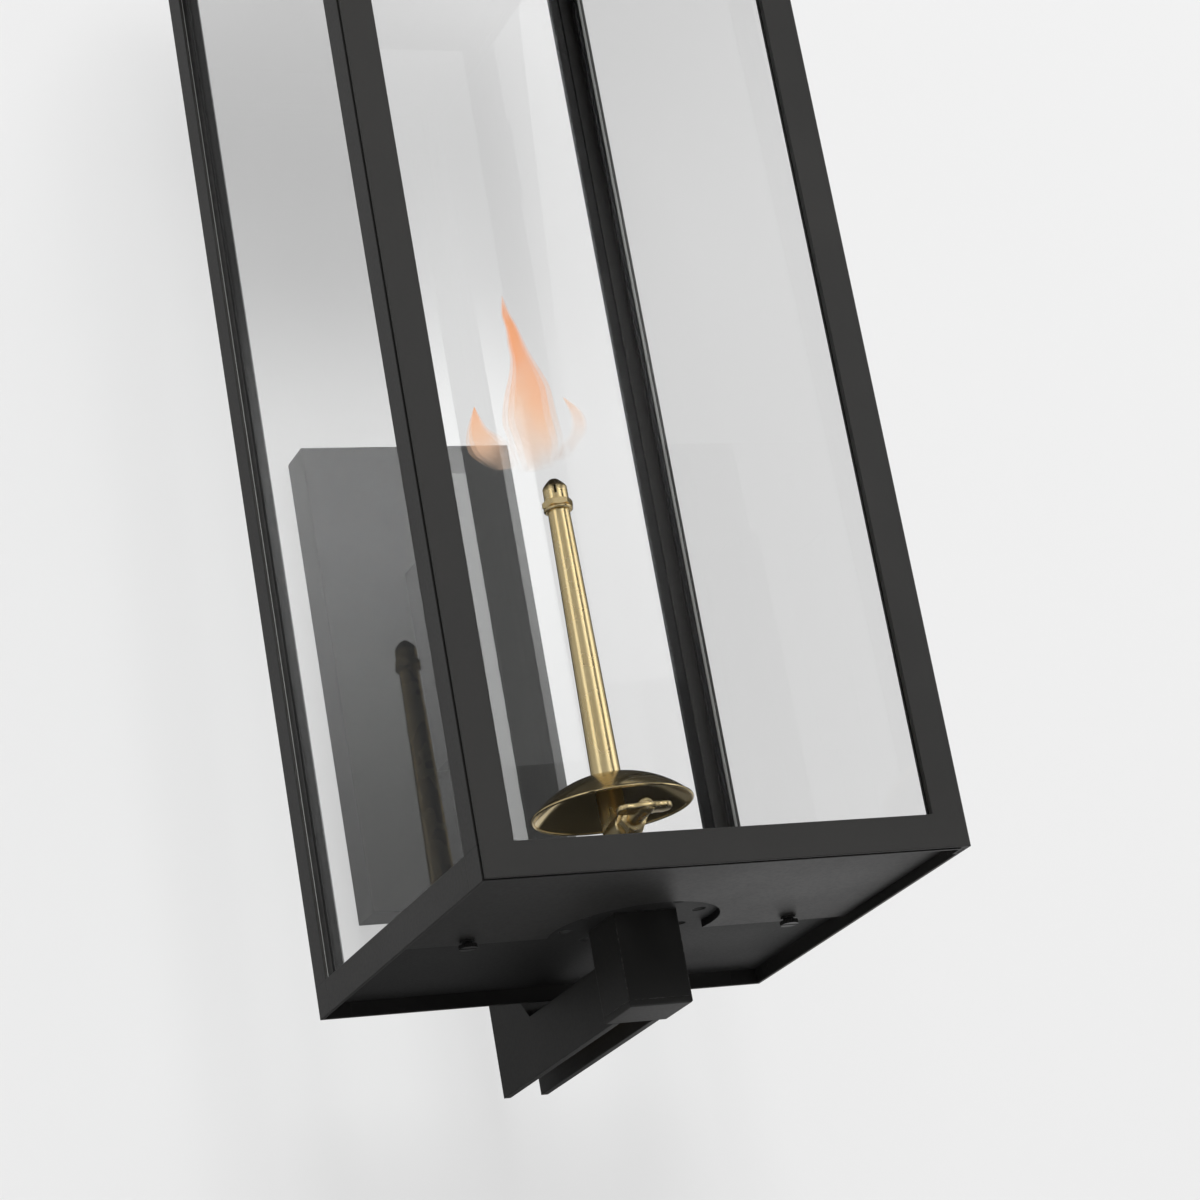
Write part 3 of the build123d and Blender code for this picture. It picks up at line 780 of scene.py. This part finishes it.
@dataclass
class CadNodes:
    """The solids that show as they are; each pane has its name, index, tint, which is darker on some panes
    as painted shade, and the factor that darkens its tint at the top, a painted shade.
    """

    seams: Tuple[float, ...] = (-0.1801, 0.4081)
    panes: Tuple[Tuple[str, float, float, float], ...] = (
        # tints that differ between panes and darker tops are painted shade
        ("glass_left", 1.06, 0.8, 1.0), ("door_glass", 1.06, 0.96, 1.0),
        ("glass_rear", 1.6, 0.98, 0.93), ("glass_right", 1.3, 0.9, 0.93),
    )

    def dress(self) -> None:
        """Assigns each node its finish."""
        slots = {row["node"]: Slot(row["material_slot"]) for row in frame["record"]["subparts"]}
        post = SatinBlack("satin_black_post", seams=self.seams)
        own: Dict[str, Finish] = {name: post for name in slots if name.startswith("post_")}
        # the floor plate's darker colour is painted shade of the recess; its rougher finish is real
        own["floor_plate"] = SatinBlack("satin_black_floor_painted_shade", grey(0.013), grey(0.017), roughness=0.58)
        # the stem's pale edge colour is a painted highlight along its edges, not wear
        own["stem_tube"] = SatinBlack("satin_black_stem_painted_highlight", wear_and_highlight=(0.34, 0.335, 0.325), edge=0.0009)
        for name, ior, tint_and_shade, top_shade in self.panes:
            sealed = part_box(name)[1][0] if name == "glass_rear" else 0.0
            own[name] = ClearGlass(f"clear_{name}", grey(tint_and_shade), ior, sealed, top_shade)
        for name, node in frame["nodes"].items():
            dress(node, own.get(name, FINISHES[slots[name]]))
        LOG.info("dressed %d solids", len(frame["nodes"]))


@dataclass
class Burner:
    """Dish, tapered tube, hexagon collar and slotted tip, in millimetres from the foot."""

    rim_level: float = 61.6
    dish_radius: float = 39.0
    dish_height: float = 16.0
    dish_flat: float = 9.0
    dish_sheet: float = 1.2
    bead: float = 0.7
    bead_turn: float = 1.4
    hole: float = 3.8
    tube_low: float = 7.2
    tube_high: float = 5.4
    tube_length: float = 135.4
    ring_radius: float = 7.2
    ring_height: float = 2.0
    ring_flat: float = 0.8
    hex_across: float = 13.2
    hex_height: float = 3.4
    hex_turn: float = 14.0
    tip_radius: float = 6.0
    tip_band: float = 6.6
    tip_dome: float = 4.6
    tip_flat: float = 2.2
    tip_bulge: float = 1.35
    slots: int = 4
    slot_half: float = 0.55
    slot_depth: float = 1.6
    slot_height: float = 4.0
    slot_turn: float = 68.0
    slot_step: float = 0.05
    stain: float = 3.2
    eased: float = 0.3

    def dish(self) -> Thing:
        """The domed dish with its rolled rim."""
        reach = self.dish_radius ** 2 - self.dish_flat ** 2
        middle = self.rim_level + (self.dish_height ** 2 - reach) / (2 * self.dish_height)
        outer = math.hypot(self.dish_radius, self.rim_level - middle)
        low = math.degrees(math.atan2(self.rim_level - middle, self.dish_radius)) + self.bead_turn
        high = math.degrees(math.acos(self.dish_flat / outer))
        top = self.rim_level + self.dish_height
        rolled = (self.dish_radius - self.bead, self.rim_level)
        profile = [(self.hole, top)] + arc(outer, (0.0, middle), high, low, 44)
        profile += arc(self.bead, rolled, 48.0, -190.0, 16)
        profile += arc(outer - self.dish_sheet, (0.0, middle), low, high, 44)
        profile.append((self.hole, top - self.dish_sheet))
        spun = Brass("spun_brass", roughness=0.15)
        return Shape().skin(turned(profile, FOOT, count=160), loop=True).piece("burner_dish_turned", spun)

    def tube(self) -> Thing:
        """The tapered tube with its eased lower end."""
        low = self.rim_level + self.dish_height
        high = low + self.tube_length
        slope = (self.tube_high - self.tube_low) / self.tube_length
        profile = [(0.0, low), (self.tube_low - self.eased, low), (self.tube_low, low + self.eased)]
        profile += [(self.tube_low + slope * z, low + z) for z in range(8, int(self.tube_length), 8)]
        profile += [(self.tube_high, high), (0.0, high)]
        return Shape().skin(turned(profile, FOOT)).piece("burner_tube_turned", LACQUERED)

    def collar(self) -> Thing:
        """The ring and the chamfered hexagon above it."""
        low = self.rim_level + self.dish_height + self.tube_length
        top, half, flat = low + self.ring_height, self.ring_height / 2, self.ring_radius - self.ring_flat
        ring = [(0.0, low), (flat, low)]
        ring += arc(half, (self.ring_radius - half, low + half), -80.0, 80.0, 11)
        ring += [(flat, top), (0.0, top)]
        shape = Shape().skin(turned(ring, FOOT))
        shape.skin(hexed(self.hex_across, top, top + self.hex_height, FOOT, phase=self.hex_turn))
        return shape.piece("burner_collar_turned", LACQUERED, SHARP_CREASE)

    def tip(self) -> Thing:
        """The slotted band and the dome above it."""
        low = self.rim_level + self.dish_height + self.tube_length + self.ring_height + self.hex_height
        band, radius, count = low + self.tip_band, self.tip_radius, 240
        slot_low, rise = band - self.slot_height, self.slot_step
        profile = [(0.0, low), (radius - self.eased, low)]
        profile += [(radius, z) for z in (low + self.eased, slot_low - rise, slot_low, band, band + rise)]
        for step in (i / 16 for i in range(1, 17)):
            bulge = (radius - self.tip_flat) * step ** self.tip_bulge
            profile.append((radius - bulge, band + rise + (self.tip_dome - rise) * step))
        profile.append((0.0, band + self.tip_dome))
        rows = turned(profile, FOOT, count=count)
        half, pitch = math.degrees(self.slot_half / radius), 360.0 / self.slots
        scale = 1.0 - self.slot_depth / radius
        for row in rows[4:6]:
            for step, point in enumerate(row):
                turn = (360.0 / count * step - self.slot_turn) % pitch
                if min(turn, pitch - turn) <= half:
                    point.x = FOOT.x + (point.x - FOOT.x) * scale
                    point.y = FOOT.y + (point.y - FOOT.y) * scale
        heat = Brass(
            "heat_stained_brass", stain_low=at(0, 0, band).z, stain_high=at(0, 0, band + self.stain).z,
            core=(radius - 0.5) * MM,
        )
        return Shape().skin(rows).piece("burner_tip_turned", heat)

    def build(self) -> None:
        """Makes the burner's pieces and seats them on the lantern."""
        seat(self.dish(), Body.LANTERN, Slot.BRASS, "burner_dish")
        seat(self.tube(), Body.LANTERN, Slot.BRASS, "burner_tube")
        seat(self.collar(), Body.LANTERN, Slot.BRASS, "burner_collar")
        seat(self.tip(), Body.LANTERN, Slot.HEATED, "burner_tip")


@dataclass
class GlazingTape:
    """Pale tape between the side panes and the rear posts, in millimetres from the foot."""

    gap: Spot = (115.74, 115.86)
    run: Spot = (101.7, 104.3)
    span: Spot = (16.0, 604.0)

    def build(self) -> None:
        """Makes one strip for each side and seats both on the lantern."""
        (near, far), (front, back) = self.gap, self.run
        ring = [(near, front), (far, front), (far, back), (near, back)]
        foam = PaleTape("pale_glazing_tape")
        for name, hand in (("glazing_tape_left", -1), ("glazing_tape_right", 1)):
            rows = [[at(hand * x, y, level) for x, y in ring[::hand]] for level in self.span]
            seat(Shape().skin(rows).piece(name, foam), Body.LANTERN)


@dataclass
class Valve:
    """Valve column, its packing nut and the wing key, in millimetres from the foot."""

    floor: float = 9.2
    base_radius: float = 15.0
    base_height: float = 3.0
    base_edge: float = 0.7
    fillet: float = 2.0
    column: float = 6.5
    top: float = 76.4
    height: float = 48.0
    swing: float = -6.2
    boss_radius: float = 7.0
    boss_reach: float = 22.0
    boss_edge: float = 0.6
    nut_across: float = 11.0
    nut_length: float = 8.0
    key_reach: float = 46.0
    key_length: float = 26.0
    key_depth: float = 12.0
    key_thickness: float = 3.0
    key_boss: float = 3.8
    key_nose: float = 2.2
    key_back: float = -31.0
    spindle: float = 3.0
    spindle_back: float = -10.0
    eased: float = 0.5
    wing_powers: Spot = (0.55, 0.7)
    waist_depth: float = 0.16
    waist_place: float = 6.4
    waist_width: float = 2.6
    wing_edge: Tuple[Spot, ...] = ((1.1, 0.0), (0.45, 0.15), (0.12, 0.45), (0.0, 0.9))
    count: int = 96

    def swung(self, rows: Rows) -> Rows:
        """Rows turned about the column, so that the key stands a little to the left."""
        turn = Matrix.Rotation(math.radians(self.swing), 3, "Z")
        return [[FOOT + turn @ (point - FOOT) for point in row] for row in rows]

    def along_spindle(self, profile: Sequence[Spot]) -> Rows:
        """Rows of a piece turned about the spindle."""
        return self.swung(turned(profile, at(0, 0, self.height), Axis.DEEP, self.count))

    def body(self) -> Thing:
        """The flanged column with its side boss."""
        flange, foot, ease = self.floor + self.base_height, self.column + self.fillet, self.eased
        radius, edge = self.base_radius, self.base_edge
        profile = [(0.0, self.floor), (radius, self.floor), (radius, flange - edge), (radius - edge, flange)]
        profile += [(foot, flange)] + arc(self.fillet, (foot, flange + self.fillet), -90.0, -180.0, 8)
        profile += [(self.column, self.top - ease), (self.column - ease, self.top), (0.0, self.top)]
        front, radius = -self.boss_reach, self.boss_radius
        boss = [(0.0, 0.0), (radius, 0.0), (radius, front + self.boss_edge)]
        boss += [(radius - self.boss_edge, front), (0.0, front)]
        shape = Shape().skin(turned(profile, FOOT)).skin(self.along_spindle(boss))
        return shape.piece("valve_body_turned", LACQUERED)

    def packing(self) -> Thing:
        """The chamfered hexagon round the spindle."""
        back = -self.boss_reach
        rows = hexed(self.nut_across, back - self.nut_length, back, at(0, 0, self.height), Axis.DEEP)
        return Shape().skin(self.swung(rows)).piece("packing_nut_chamfered", LACQUERED, SHARP_CREASE)

    def outline(self, inset: float, level: float) -> List[Vector]:
        """One outline of the wing, drawn in towards its boss.

        Args:
            inset: distance that the outline is drawn in.
            level: height of the outline.

        Returns:
            The outline's points in order.
        """
        points = []
        long, deep = self.key_length / 2 - inset, self.key_depth / 2 - inset
        for angle in (2 * math.pi * step / self.count for step in range(self.count)):
            x, y = (
                math.copysign(abs(part) ** power, part)
                for part, power in zip((math.cos(angle), math.sin(angle)), self.wing_powers)
            )
            near = ((abs(x * long) - self.waist_place) / self.waist_width) ** 2
            waist = 1.0 - self.waist_depth * math.exp(-near)
            points.append(at(x * long, -self.key_reach + y * deep * waist, self.height + level))
        return points

    def key(self) -> Thing:
        """The wing key with its rounded edges, boss and spindle."""
        half, back, ease = self.key_thickness / 2, self.key_back, self.eased
        lower = [(inset, rise - half) for inset, rise in self.wing_edge]
        levels = lower + [(inset, -level) for inset, level in reversed(lower)]
        shape = Shape().skin(self.swung([self.outline(inset, level) for inset, level in levels]))
        front = -self.key_reach - self.key_depth / 2
        boss = [(0.0, front)] + [
            (self.key_boss * math.sin(a), front + self.key_nose * (1 - math.cos(a)))
            for a in (math.radians(9.0 * i) for i in range(1, 11))
        ]
        boss += [(self.key_boss, back - ease), (self.key_boss - ease, back), (self.spindle, back)]
        boss += [(self.spindle, self.spindle_back), (0.0, self.spindle_back)]
        return shape.skin(self.along_spindle(boss)).piece("valve_key_wing", LACQUERED)

    def build(self) -> None:
        """Makes the valve's pieces and seats them."""
        seat(self.body(), Body.LANTERN, Slot.BRASS, "valve_body")
        seat(self.packing(), Body.LANTERN, Slot.BRASS, "packing_nut")
        seat(self.key(), Body.KEY, Slot.BRASS, "valve_key")


@dataclass
class Fasteners:
    """Hinge screws, thumb screws and acorn nuts, in millimetres from the foot."""

    hinge_levels: Spot = (90.0, 530.0)
    hinge_axis: float = -107.3
    leaf_face: float = 118.5
    leaf_middle: float = 4.6
    screw_step: float = 17.0
    screw_radius: float = 1.7
    screw_rise: float = 0.55
    slot_shares: Spot = (2.4, 0.26)
    slot_turn: float = 1.2
    thumb_x: float = 82.0
    thumb_y: float = 3.0
    thumb_low: float = 0.6
    plate_face: float = 4.4
    thumb_end: float = 13.2
    thumb_radius: float = 4.4
    thumb_head: float = 1.9
    thumb_groove: float = 1.4
    thumb_flange: float = 0.8
    neck_foot: float = 0.6
    neck_share: float = 0.568
    flange_share: float = 0.818
    knurl: float = 0.07
    nut_across: float = 9.0
    nut_corner: float = 0.577
    nut_hex: float = 4.0
    nut_dome: float = 4.0
    nut_sunk: float = 0.2

    def head_recipe(self, sizes: Dict[str, Any]) -> Recipe:
        """A row of low domed heads with a slot, all facing right.

        Args:
            sizes: Start, Step, Count, Radius and Rise.

        Returns:
            The tree.
        """
        made = Recipe("slotted_heads", sizes)
        g, entry = made.graph, made.entry
        radius, rise = entry["Radius"], entry["Rise"]
        ball = g.add("GeometryNodeMeshUVSphere", {"Segments": 32, "Rings": 16, "Radius": radius})[0]
        flat = g.vector(1.0, 1.0, rise / radius)
        dome = g.add("GeometryNodeTransform", {"Geometry": ball, "Scale": flat})[0]
        long, wide = self.slot_shares
        slot = made.moved(made.bar(g.vector(radius * long, radius * wide, rise)), g.vector(z=rise))
        line = made.row(entry["Count"], entry["Start"], entry["Step"])
        heads = made.spread(line, made.cut(dome, slot), (0.0, math.pi / 2, 0.0))
        span = {0: (0.0, 0.0, -self.slot_turn), 1: (0.0, 0.0, self.slot_turn), "Seed": 7}
        turn = g.add("FunctionNodeRandomValue", span, data_type="FLOAT_VECTOR")[0]
        heads = g.add("GeometryNodeRotateInstances", {"Instances": heads, "Rotation": turn})[0]
        return made.close(heads, BLACKED)

    def hinge_screws(self) -> None:
        """Screws on the door's leaves and on the post's leaves."""
        sizes = {
            "Start": tuple(FOOT), "Step": (0.0, 0.0, self.screw_step * MM), "Count": 3,
            "Radius": self.screw_radius * MM, "Rise": self.screw_rise * MM,
        }
        recipe = self.head_recipe(sizes)
        for body, side in ((Body.DOOR, -1), (Body.LANTERN, 1)):
            for level in self.hinge_levels:
                y = self.hinge_axis + side * self.leaf_middle
                sizes["Start"] = tuple(at(self.leaf_face, y, level - self.screw_step))
                piece = recipe.run(f"{body.value}_hinge_screws_{int(level)}", sizes, BLACKED)
                seat(piece, body, Slot.HARDWARE)

    def thumb_recipe(self, sizes: Dict[str, Any]) -> Recipe:
        """Two knurled thumb screws that hang under the access plate.

        Args:
            sizes: Start, Step, Radius, Drop, Reach and Knurl.

        Returns:
            The tree.
        """
        made = Recipe("knurled_screws", sizes)
        g, entry = made.graph, made.entry
        radius, reach = entry["Radius"], entry["Reach"]
        deep, groove, flange = (v * MM for v in (self.thumb_head, self.thumb_groove, self.thumb_flange))
        pull = g.add("GeometryNodeInputIndex")[0] % 2.0 * entry["Knurl"] * -1.0
        shift = g.vectors("MULTIPLY", g.add("GeometryNodeInputPosition")[0], g.vector(pull, pull))[0]
        head = made.rod(64, radius, deep)
        head = g.add("GeometryNodeSetPosition", {"Geometry": head, "Offset": shift})[0]
        head = made.cut(head, made.moved(made.bar((0.02, groove, groove)), (0.0, 0.0, -deep / 2)))
        head = made.moved(head, (0.0, 0.0, deep / 2 + 0.00001))
        neck = made.rod(48, radius * self.neck_share, reach)
        neck = made.moved(neck, g.vector(z=reach * 0.5 + self.neck_foot * MM))
        collar = made.rod(48, radius * self.flange_share, flange)
        collar = made.moved(collar, g.vector(z=entry["Drop"] - flange / 2))
        line = made.row(2, entry["Start"], entry["Step"])
        return made.close(made.spread(line, made.joined([collar, neck, head])), BLACKED)

    def thumb_screws(self) -> None:
        """The access plate's two thumb screws."""
        sizes = {
            "Start": tuple(at(-self.thumb_x, self.thumb_y, self.thumb_low)),
            "Step": (2 * self.thumb_x * MM, 0.0, 0.0), "Radius": self.thumb_radius * MM,
            "Drop": (self.plate_face - self.thumb_low) * MM,
            "Reach": (self.thumb_end - self.thumb_low - self.neck_foot) * MM, "Knurl": self.knurl,
        }
        piece = self.thumb_recipe(sizes).run("thumb_screws_knurled", sizes, BLACKED, SHARP_CREASE)
        seat(piece, Body.LANTERN, Slot.HARDWARE, "access_thumb_screws")

    def acorn_nuts(self) -> None:
        """The two domed nuts on the backplate's face."""
        low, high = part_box("cap_nuts")
        corner, radius, face = self.nut_across * self.nut_corner * MM, self.nut_dome, -self.nut_hex
        dome = [(0.0, face + self.nut_sunk), (radius, face + self.nut_sunk)]
        dome += [
            (radius * math.cos(a), face - radius * math.sin(a))
            for a in (math.radians(7.5 * i) for i in range(12))
        ]
        dome.append((0.0, face - radius))
        shape = Shape()
        for z in (low.z + corner, high.z - corner):
            base = Vector((0.0, high.y, z))
            shape.skin(hexed(self.nut_across, face, 0.0, base, Axis.DEEP))
            shape.skin(turned(dome, base, Axis.DEEP, 64))
        piece = shape.piece("acorn_nuts", BLACKED, SHARP_CREASE)
        seat(piece, Body.LANTERN, Slot.HARDWARE, "cap_nuts")

    def build(self) -> None:
        """Makes all the fasteners."""
        self.hinge_screws()
        self.thumb_screws()
        self.acorn_nuts()


@dataclass
class VentScreen:
    """Wire screen across the roof's outlet, in millimetres from the foot."""

    level: float = 670.0
    half: float = 39.5
    pitch: float = 4.2
    wire: float = 0.35

    def recipe(self, sizes: Dict[str, Any]) -> Recipe:
        """Crossed wires over a square.

        Args:
            sizes: Middle, Half, Count and Wire.

        Returns:
            The tree.
        """
        made = Recipe("crossed_wires", sizes)
        g, entry = made.graph, made.entry
        half, count, wire = entry["Half"], entry["Count"], entry["Wire"]
        gap, layers = half * 2.0 / (count - 1.0), []
        for side, turn in (("x", (math.pi / 2, 0.0, 0.0)), ("y", (0.0, math.pi / 2, 0.0))):
            lift = wire * (1.0 if side == "x" else -1.0)
            line = made.row(count, g.vector(**{side: half * -1.0, "z": lift}), g.vector(**{side: gap}))
            layers.append(made.spread(line, made.rod(8, wire, half * 2.0), turn))
        return made.close(made.moved(made.joined(layers), entry["Middle"]), BLACKED)

    def build(self) -> None:
        """Makes the screen and seats it on the lantern."""
        sizes = {
            "Middle": tuple(at(0, 0, self.level)), "Half": self.half * MM,
            "Count": int(2 * self.half / self.pitch) + 1, "Wire": self.wire * MM,
        }
        seat(self.recipe(sizes).run("vent_screen_wires", sizes, BLACKED), Body.LANTERN, Slot.HARDWARE)


@dataclass(frozen=True)
class FlameGlow(Finish):
    """Soft orange glow that fades towards its foot."""

    low: float
    high: float
    share: float

    HUES = (
        (0.0, (0.93, 0.74, 0.60)), (0.3, (0.96, 0.58, 0.36)),
        (0.6, (0.97, 0.38, 0.14)), (1.0, (0.95, 0.34, 0.10)),
    )

    def shade(self, graph: Graph) -> Sock:
        """Adds the glow's nodes and returns its shader."""
        where = graph.place()
        lick = graph.noise(graph.stretched(where, (70.0, 70.0, 24.0)), 1.0)
        level = (graph.split(where)["Z"] - self.low) / (self.high - self.low)
        level = level + lick.ramp(0.3, 0.7, -0.08, 0.08)
        hue = graph.add("ShaderNodeValToRGB", {"Fac": level}, stops=self.HUES)["Color"]
        fade = level.ramp(-0.05, 0.42) * level.ramp(0.86, 1.02, 1.0, 0.25) * lick.ramp(0.2, 0.6, 0.7, 1.0)
        return graph.principled({
            "Base Color": grey(0.0), "Roughness": 1.0, "Specular IOR Level": 0.0,
            "Emission Color": hue, "Emission Strength": 1.0, "Alpha": fade * self.share,
        })


@dataclass
class Flame:
    """Tongues above the burner in nested shells; sideways, height and half width in millimetres."""

    facing: float = 25.079
    foot: float = 236.0
    crown: float = 330.0
    flatness: float = 0.7
    thinnest: float = 0.05
    count: int = 40
    shells: Tuple[Spot, ...] = ((1.22, 0.17), (0.96, 0.27), (0.66, 0.3))
    tongues: Tuple[Tuple[Point, ...], ...] = (
        (
            (-8.8, 330.0, 0.2), (-8.6, 320.6, 1.7), (-7.0, 312.6, 2.4), (-6.1, 304.1, 3.4),
            (-4.9, 295.5, 4.4), (-4.4, 286.3, 6.8), (-4.6, 278.8, 9.0), (-5.6, 270.0, 10.4),
            (-6.0, 262.6, 11.0), (-5.0, 254.9, 10.8), (-4.6, 247.4, 10.6), (-5.6, 238.1, 8.0),
        ),
        (
            (-31.7, 274.5, 0.2), (-32.2, 267.7, 2.4), (-32.0, 261.7, 4.5), (-29.6, 256.0, 7.4),
            (-26.8, 249.5, 8.4), (-22.0, 241.1, 5.4),
        ),
        (
            (12.2, 271.0, 0.2), (15.6, 265.1, 1.9), (17.2, 260.3, 2.7), (17.2, 255.0, 3.3),
            (15.2, 250.2, 3.9), (11.1, 245.8, 4.4), (6.2, 240.0, 4.0),
        ),
    )

    def build(self) -> None:
        """Makes the shells and seats them over the burner."""
        turn = math.radians(self.facing)
        side = Vector((math.cos(turn), -math.sin(turn), 0.0))
        deep = Vector((math.sin(turn), math.cos(turn), 0.0)) * self.flatness
        angles = [2 * math.pi * i / self.count for i in range(self.count)]
        ring = [side * math.cos(a) + deep * math.sin(a) for a in angles]
        for number, (scale, share) in enumerate(self.shells, 1):
            name, shape = f"flame_shell_{number}", Shape()
            for stations in self.tongues:
                shape.skin([
                    [at(0, 0, level) + (side * across + spot * half * scale) * MM for spot in ring]
                    for across, level, half in self.line(stations)
                ])
            glow = FlameGlow(f"{name}_glow", at(0, 0, self.foot).z, at(0, 0, self.crown).z, share)
            shell = shape.piece(name, glow, 180.0)
            shell.visible_shadow = shell.visible_diffuse = shell.visible_glossy = False
            seat(shell, Body.LANTERN)

    def line(self, stations: Sequence[Point], steps: int = 5) -> List[Point]:
        """Runs a smooth line through the stations.

        Args:
            stations: sideways place, height and half width of each station.
            steps: points between two stations.

        Returns:
            The finer line.
        """
        points = [Vector(s) for s in stations]
        ends = [points[0]] + points + [points[-1]]
        line = []
        for a, b, c, d in zip(ends, ends[1:], ends[2:], ends[3:]):
            for t in (i / steps for i in range(steps)):
                bend = (2 * a - 5 * b + 4 * c - d) * t * t + (3 * b - a - 3 * c + d) * t ** 3
                spot = 0.5 * (2 * b + (c - a) * t + bend)
                line.append((spot.x, spot.y, max(self.thinnest, spot.z)))
        return line + [tuple(points[-1])]


@dataclass(frozen=True)
class AreaLamp:
    """One soft lamp aimed at a point."""

    name: str
    place: Point
    target: Point
    size: float
    power: float

    def build(self) -> None:
        """Adds the lamp to the scene."""
        data = bpy.data.lights.new(self.name, "AREA")
        data.shape = "DISK"
        data.size, data.energy = self.size, self.power
        lamp = added(self.name, data)
        lamp.location = self.place
        aim = Vector(self.target) - Vector(self.place)
        lamp.rotation_euler = aim.to_track_quat("-Z", "Y").to_euler()
        lamp.visible_camera = lamp.visible_glossy = False


TO_FRONT, TO_REAR = (0.0, -1.0, 0.0), (0.0, 1.0, 0.0)


@dataclass
class Studio:
    """Camera, lamp, backdrop, floor and cards.

    A card has its name, middle, direction, half width, half height and its tones below and above.
    """

    eye: Point = (-0.65894, -1.64005, -0.55895)
    azimuth: float = 25.079
    elevation: float = 18.473
    roll: float = 10.334
    lens: float = 104.19
    sensor: float = 36.0
    clip: Spot = (0.05, 50.0)
    floor_level: float = -1.3
    back: float = 0.0012
    reach: float = 5.0
    world: Colour = (0.15, 0.45, 0.84)
    cards: Tuple[Tuple[str, Point, Point, float, float, float, float], ...] = (
        ("stage_front_card", (2.0, -3.1, 1.15), TO_FRONT, 1.1, 1.8, 0.03, 0.3),
        ("stage_post_card", (1.84, -2.9, 1.35), TO_FRONT, 0.32, 2.1, 0.01, 0.03),
        ("stage_veil_card", (1.43, -2.98, 1.1), TO_FRONT, 0.08, 0.6, 0.2, 1.0),
        ("stage_left_card", (-2.26, -1.67, 1.05), (-0.84, -0.54, 0.0), 0.9, 0.6, 1.6, 1.6),
        ("stage_middle_card", (0.45, -3.0, 1.05), TO_FRONT, 0.38, 0.6, 1.4, 1.4),
        ("stage_right_card", (3.0, -1.6, 0.9), (0.85, -0.5, 0.0), 1.0, 0.8, 1.9, 1.9),
        ("stage_bright_card", (1.1, -3.0, 1.13), TO_FRONT, 0.27, 0.6, 1.3, 3.8),
        ("stage_stripe_card", (1.25, -2.99, 0.93), TO_FRONT, 0.05, 0.36, 5.0, 6.0),
        ("stage_low_card", (-0.2, -1.7, -1.1), (-0.1, -0.85, -0.5), 0.9, 0.9, 0.04, 0.3),
        ("stage_rear_card", (0.6, 0.25, 0.65), TO_REAR, 0.8, 0.8, 0.05, 0.05),
        ("stage_under_card", (0.95, 0.6, -0.65), TO_REAR, 0.6, 0.45, 0.7, 0.7),
        ("stage_shade_card", (-0.5, 0.25, -0.58), TO_REAR, 0.7, 0.42, 0.12, 0.12),
    )
    lamp: AreaLamp = AreaLamp("high_softbox", (0.3, -5.0, 4.2), (0.0, -0.2, 0.1), 4.6, 390.0)

    def camera(self) -> None:
        """Puts the camera where the photograph was taken from."""
        turn, rise, lean = (math.radians(a) for a in (self.azimuth, self.elevation, self.roll))
        ahead = Vector((math.sin(turn) * math.cos(rise), math.cos(turn) * math.cos(rise), math.sin(rise)))
        level = Vector((math.cos(turn), -math.sin(turn), 0.0))
        right = level * math.cos(lean) + ahead.cross(level) * math.sin(lean)
        data = bpy.data.cameras.new("photo_camera")
        data.lens, data.sensor_width = self.lens, self.sensor
        data.clip_start, data.clip_end = self.clip
        camera = added("photo_camera", data)
        aimed = Matrix((right, right.cross(ahead), -ahead)).transposed().to_4x4()
        camera.matrix_world = Matrix.Translation(self.eye) @ aimed
        bpy.context.scene.camera = camera

    def sheet(self, name: str, corners: Sequence[Sequence[float]], paint: Finish) -> Thing:
        """Adds one flat stage sheet.

        Args:
            name: the sheet's name.
            corners: its corners, counter-clockwise from the side that shows.
            paint: its finish.

        Returns:
            The sheet.
        """
        mesh = bpy.data.meshes.new(name)
        mesh.from_pydata([Vector(c) for c in corners], [], [tuple(range(len(corners)))])
        sheet = added(name, mesh)
        dress(sheet, paint)
        return sheet

    def backdrop(self) -> None:
        """Adds the pale floor and the pale upright sheet behind the lantern."""
        r, low, back = self.reach, self.floor_level, self.back
        self.sheet(
            "stage_floor", [(-r, -r, low), (r, -r, low), (r, r, low), (-r, r, low)],
            StagePaint("pale_floor", 0.4, lit=0.68, shine=0.15),
        )
        upright = self.sheet(
            "stage_backdrop", [(-r, back, low), (r, back, low), (r, back, r), (-r, back, r)],
            StagePaint("pale_backdrop"),
        )
        upright.visible_glossy = False

    def grey_cards(self) -> None:
        """Adds the grey cards that the glass, the brass and the stem reflect."""
        for name, middle, ahead, wide, high, dark, pale in self.cards:
            out, spot = Vector(ahead).normalized(), Vector(middle)
            side = out.cross(Vector((0.0, 0.0, 1.0))).normalized() * wide
            rise = side.cross(out).normalized() * high
            corners = [spot - side - rise, spot + side - rise, spot + side + rise, spot - side + rise]
            card = self.sheet(name, corners, CardPaint(f"{name}_paint", dark, pale))
            card.visible_camera = card.visible_shadow = False

    def surroundings(self) -> None:
        """Gives the world its pale light."""
        world = bpy.data.worlds.new("pale_light")
        bpy.context.scene.world = world
        world.use_nodes = True
        world.node_tree.nodes.clear()
        graph = Graph(world.node_tree)
        path = graph.add("ShaderNodeLightPath")
        seen = path["Is Camera Ray"].larger(path["Is Transmission Ray"])
        fill, gloss, pale = (
            graph.add("ShaderNodeBackground", {"Color": grey(tone)})[0] for tone in self.world
        )
        light = graph.blend(seen, graph.blend(path["Is Glossy Ray"], fill, gloss), pale)
        graph.add("ShaderNodeOutputWorld", {"Surface": light})

    def build(self) -> None:
        """Builds the whole stage."""
        self.camera()
        self.backdrop()
        self.grey_cards()
        self.surroundings()
        self.lamp.build()
        bpy.context.scene.view_settings.view_transform = "Standard"


def main() -> None:
    """Builds the lantern's looks and its stage in order."""
    logging.basicConfig(level=logging.INFO, format="%(message)s")
    CadNodes().dress()
    for assembly in (Burner(), Valve(), GlazingTape(), Fasteners(), VentScreen(), Flame(), Studio()):
        assembly.build()


if __name__ == "__main__":
    main()
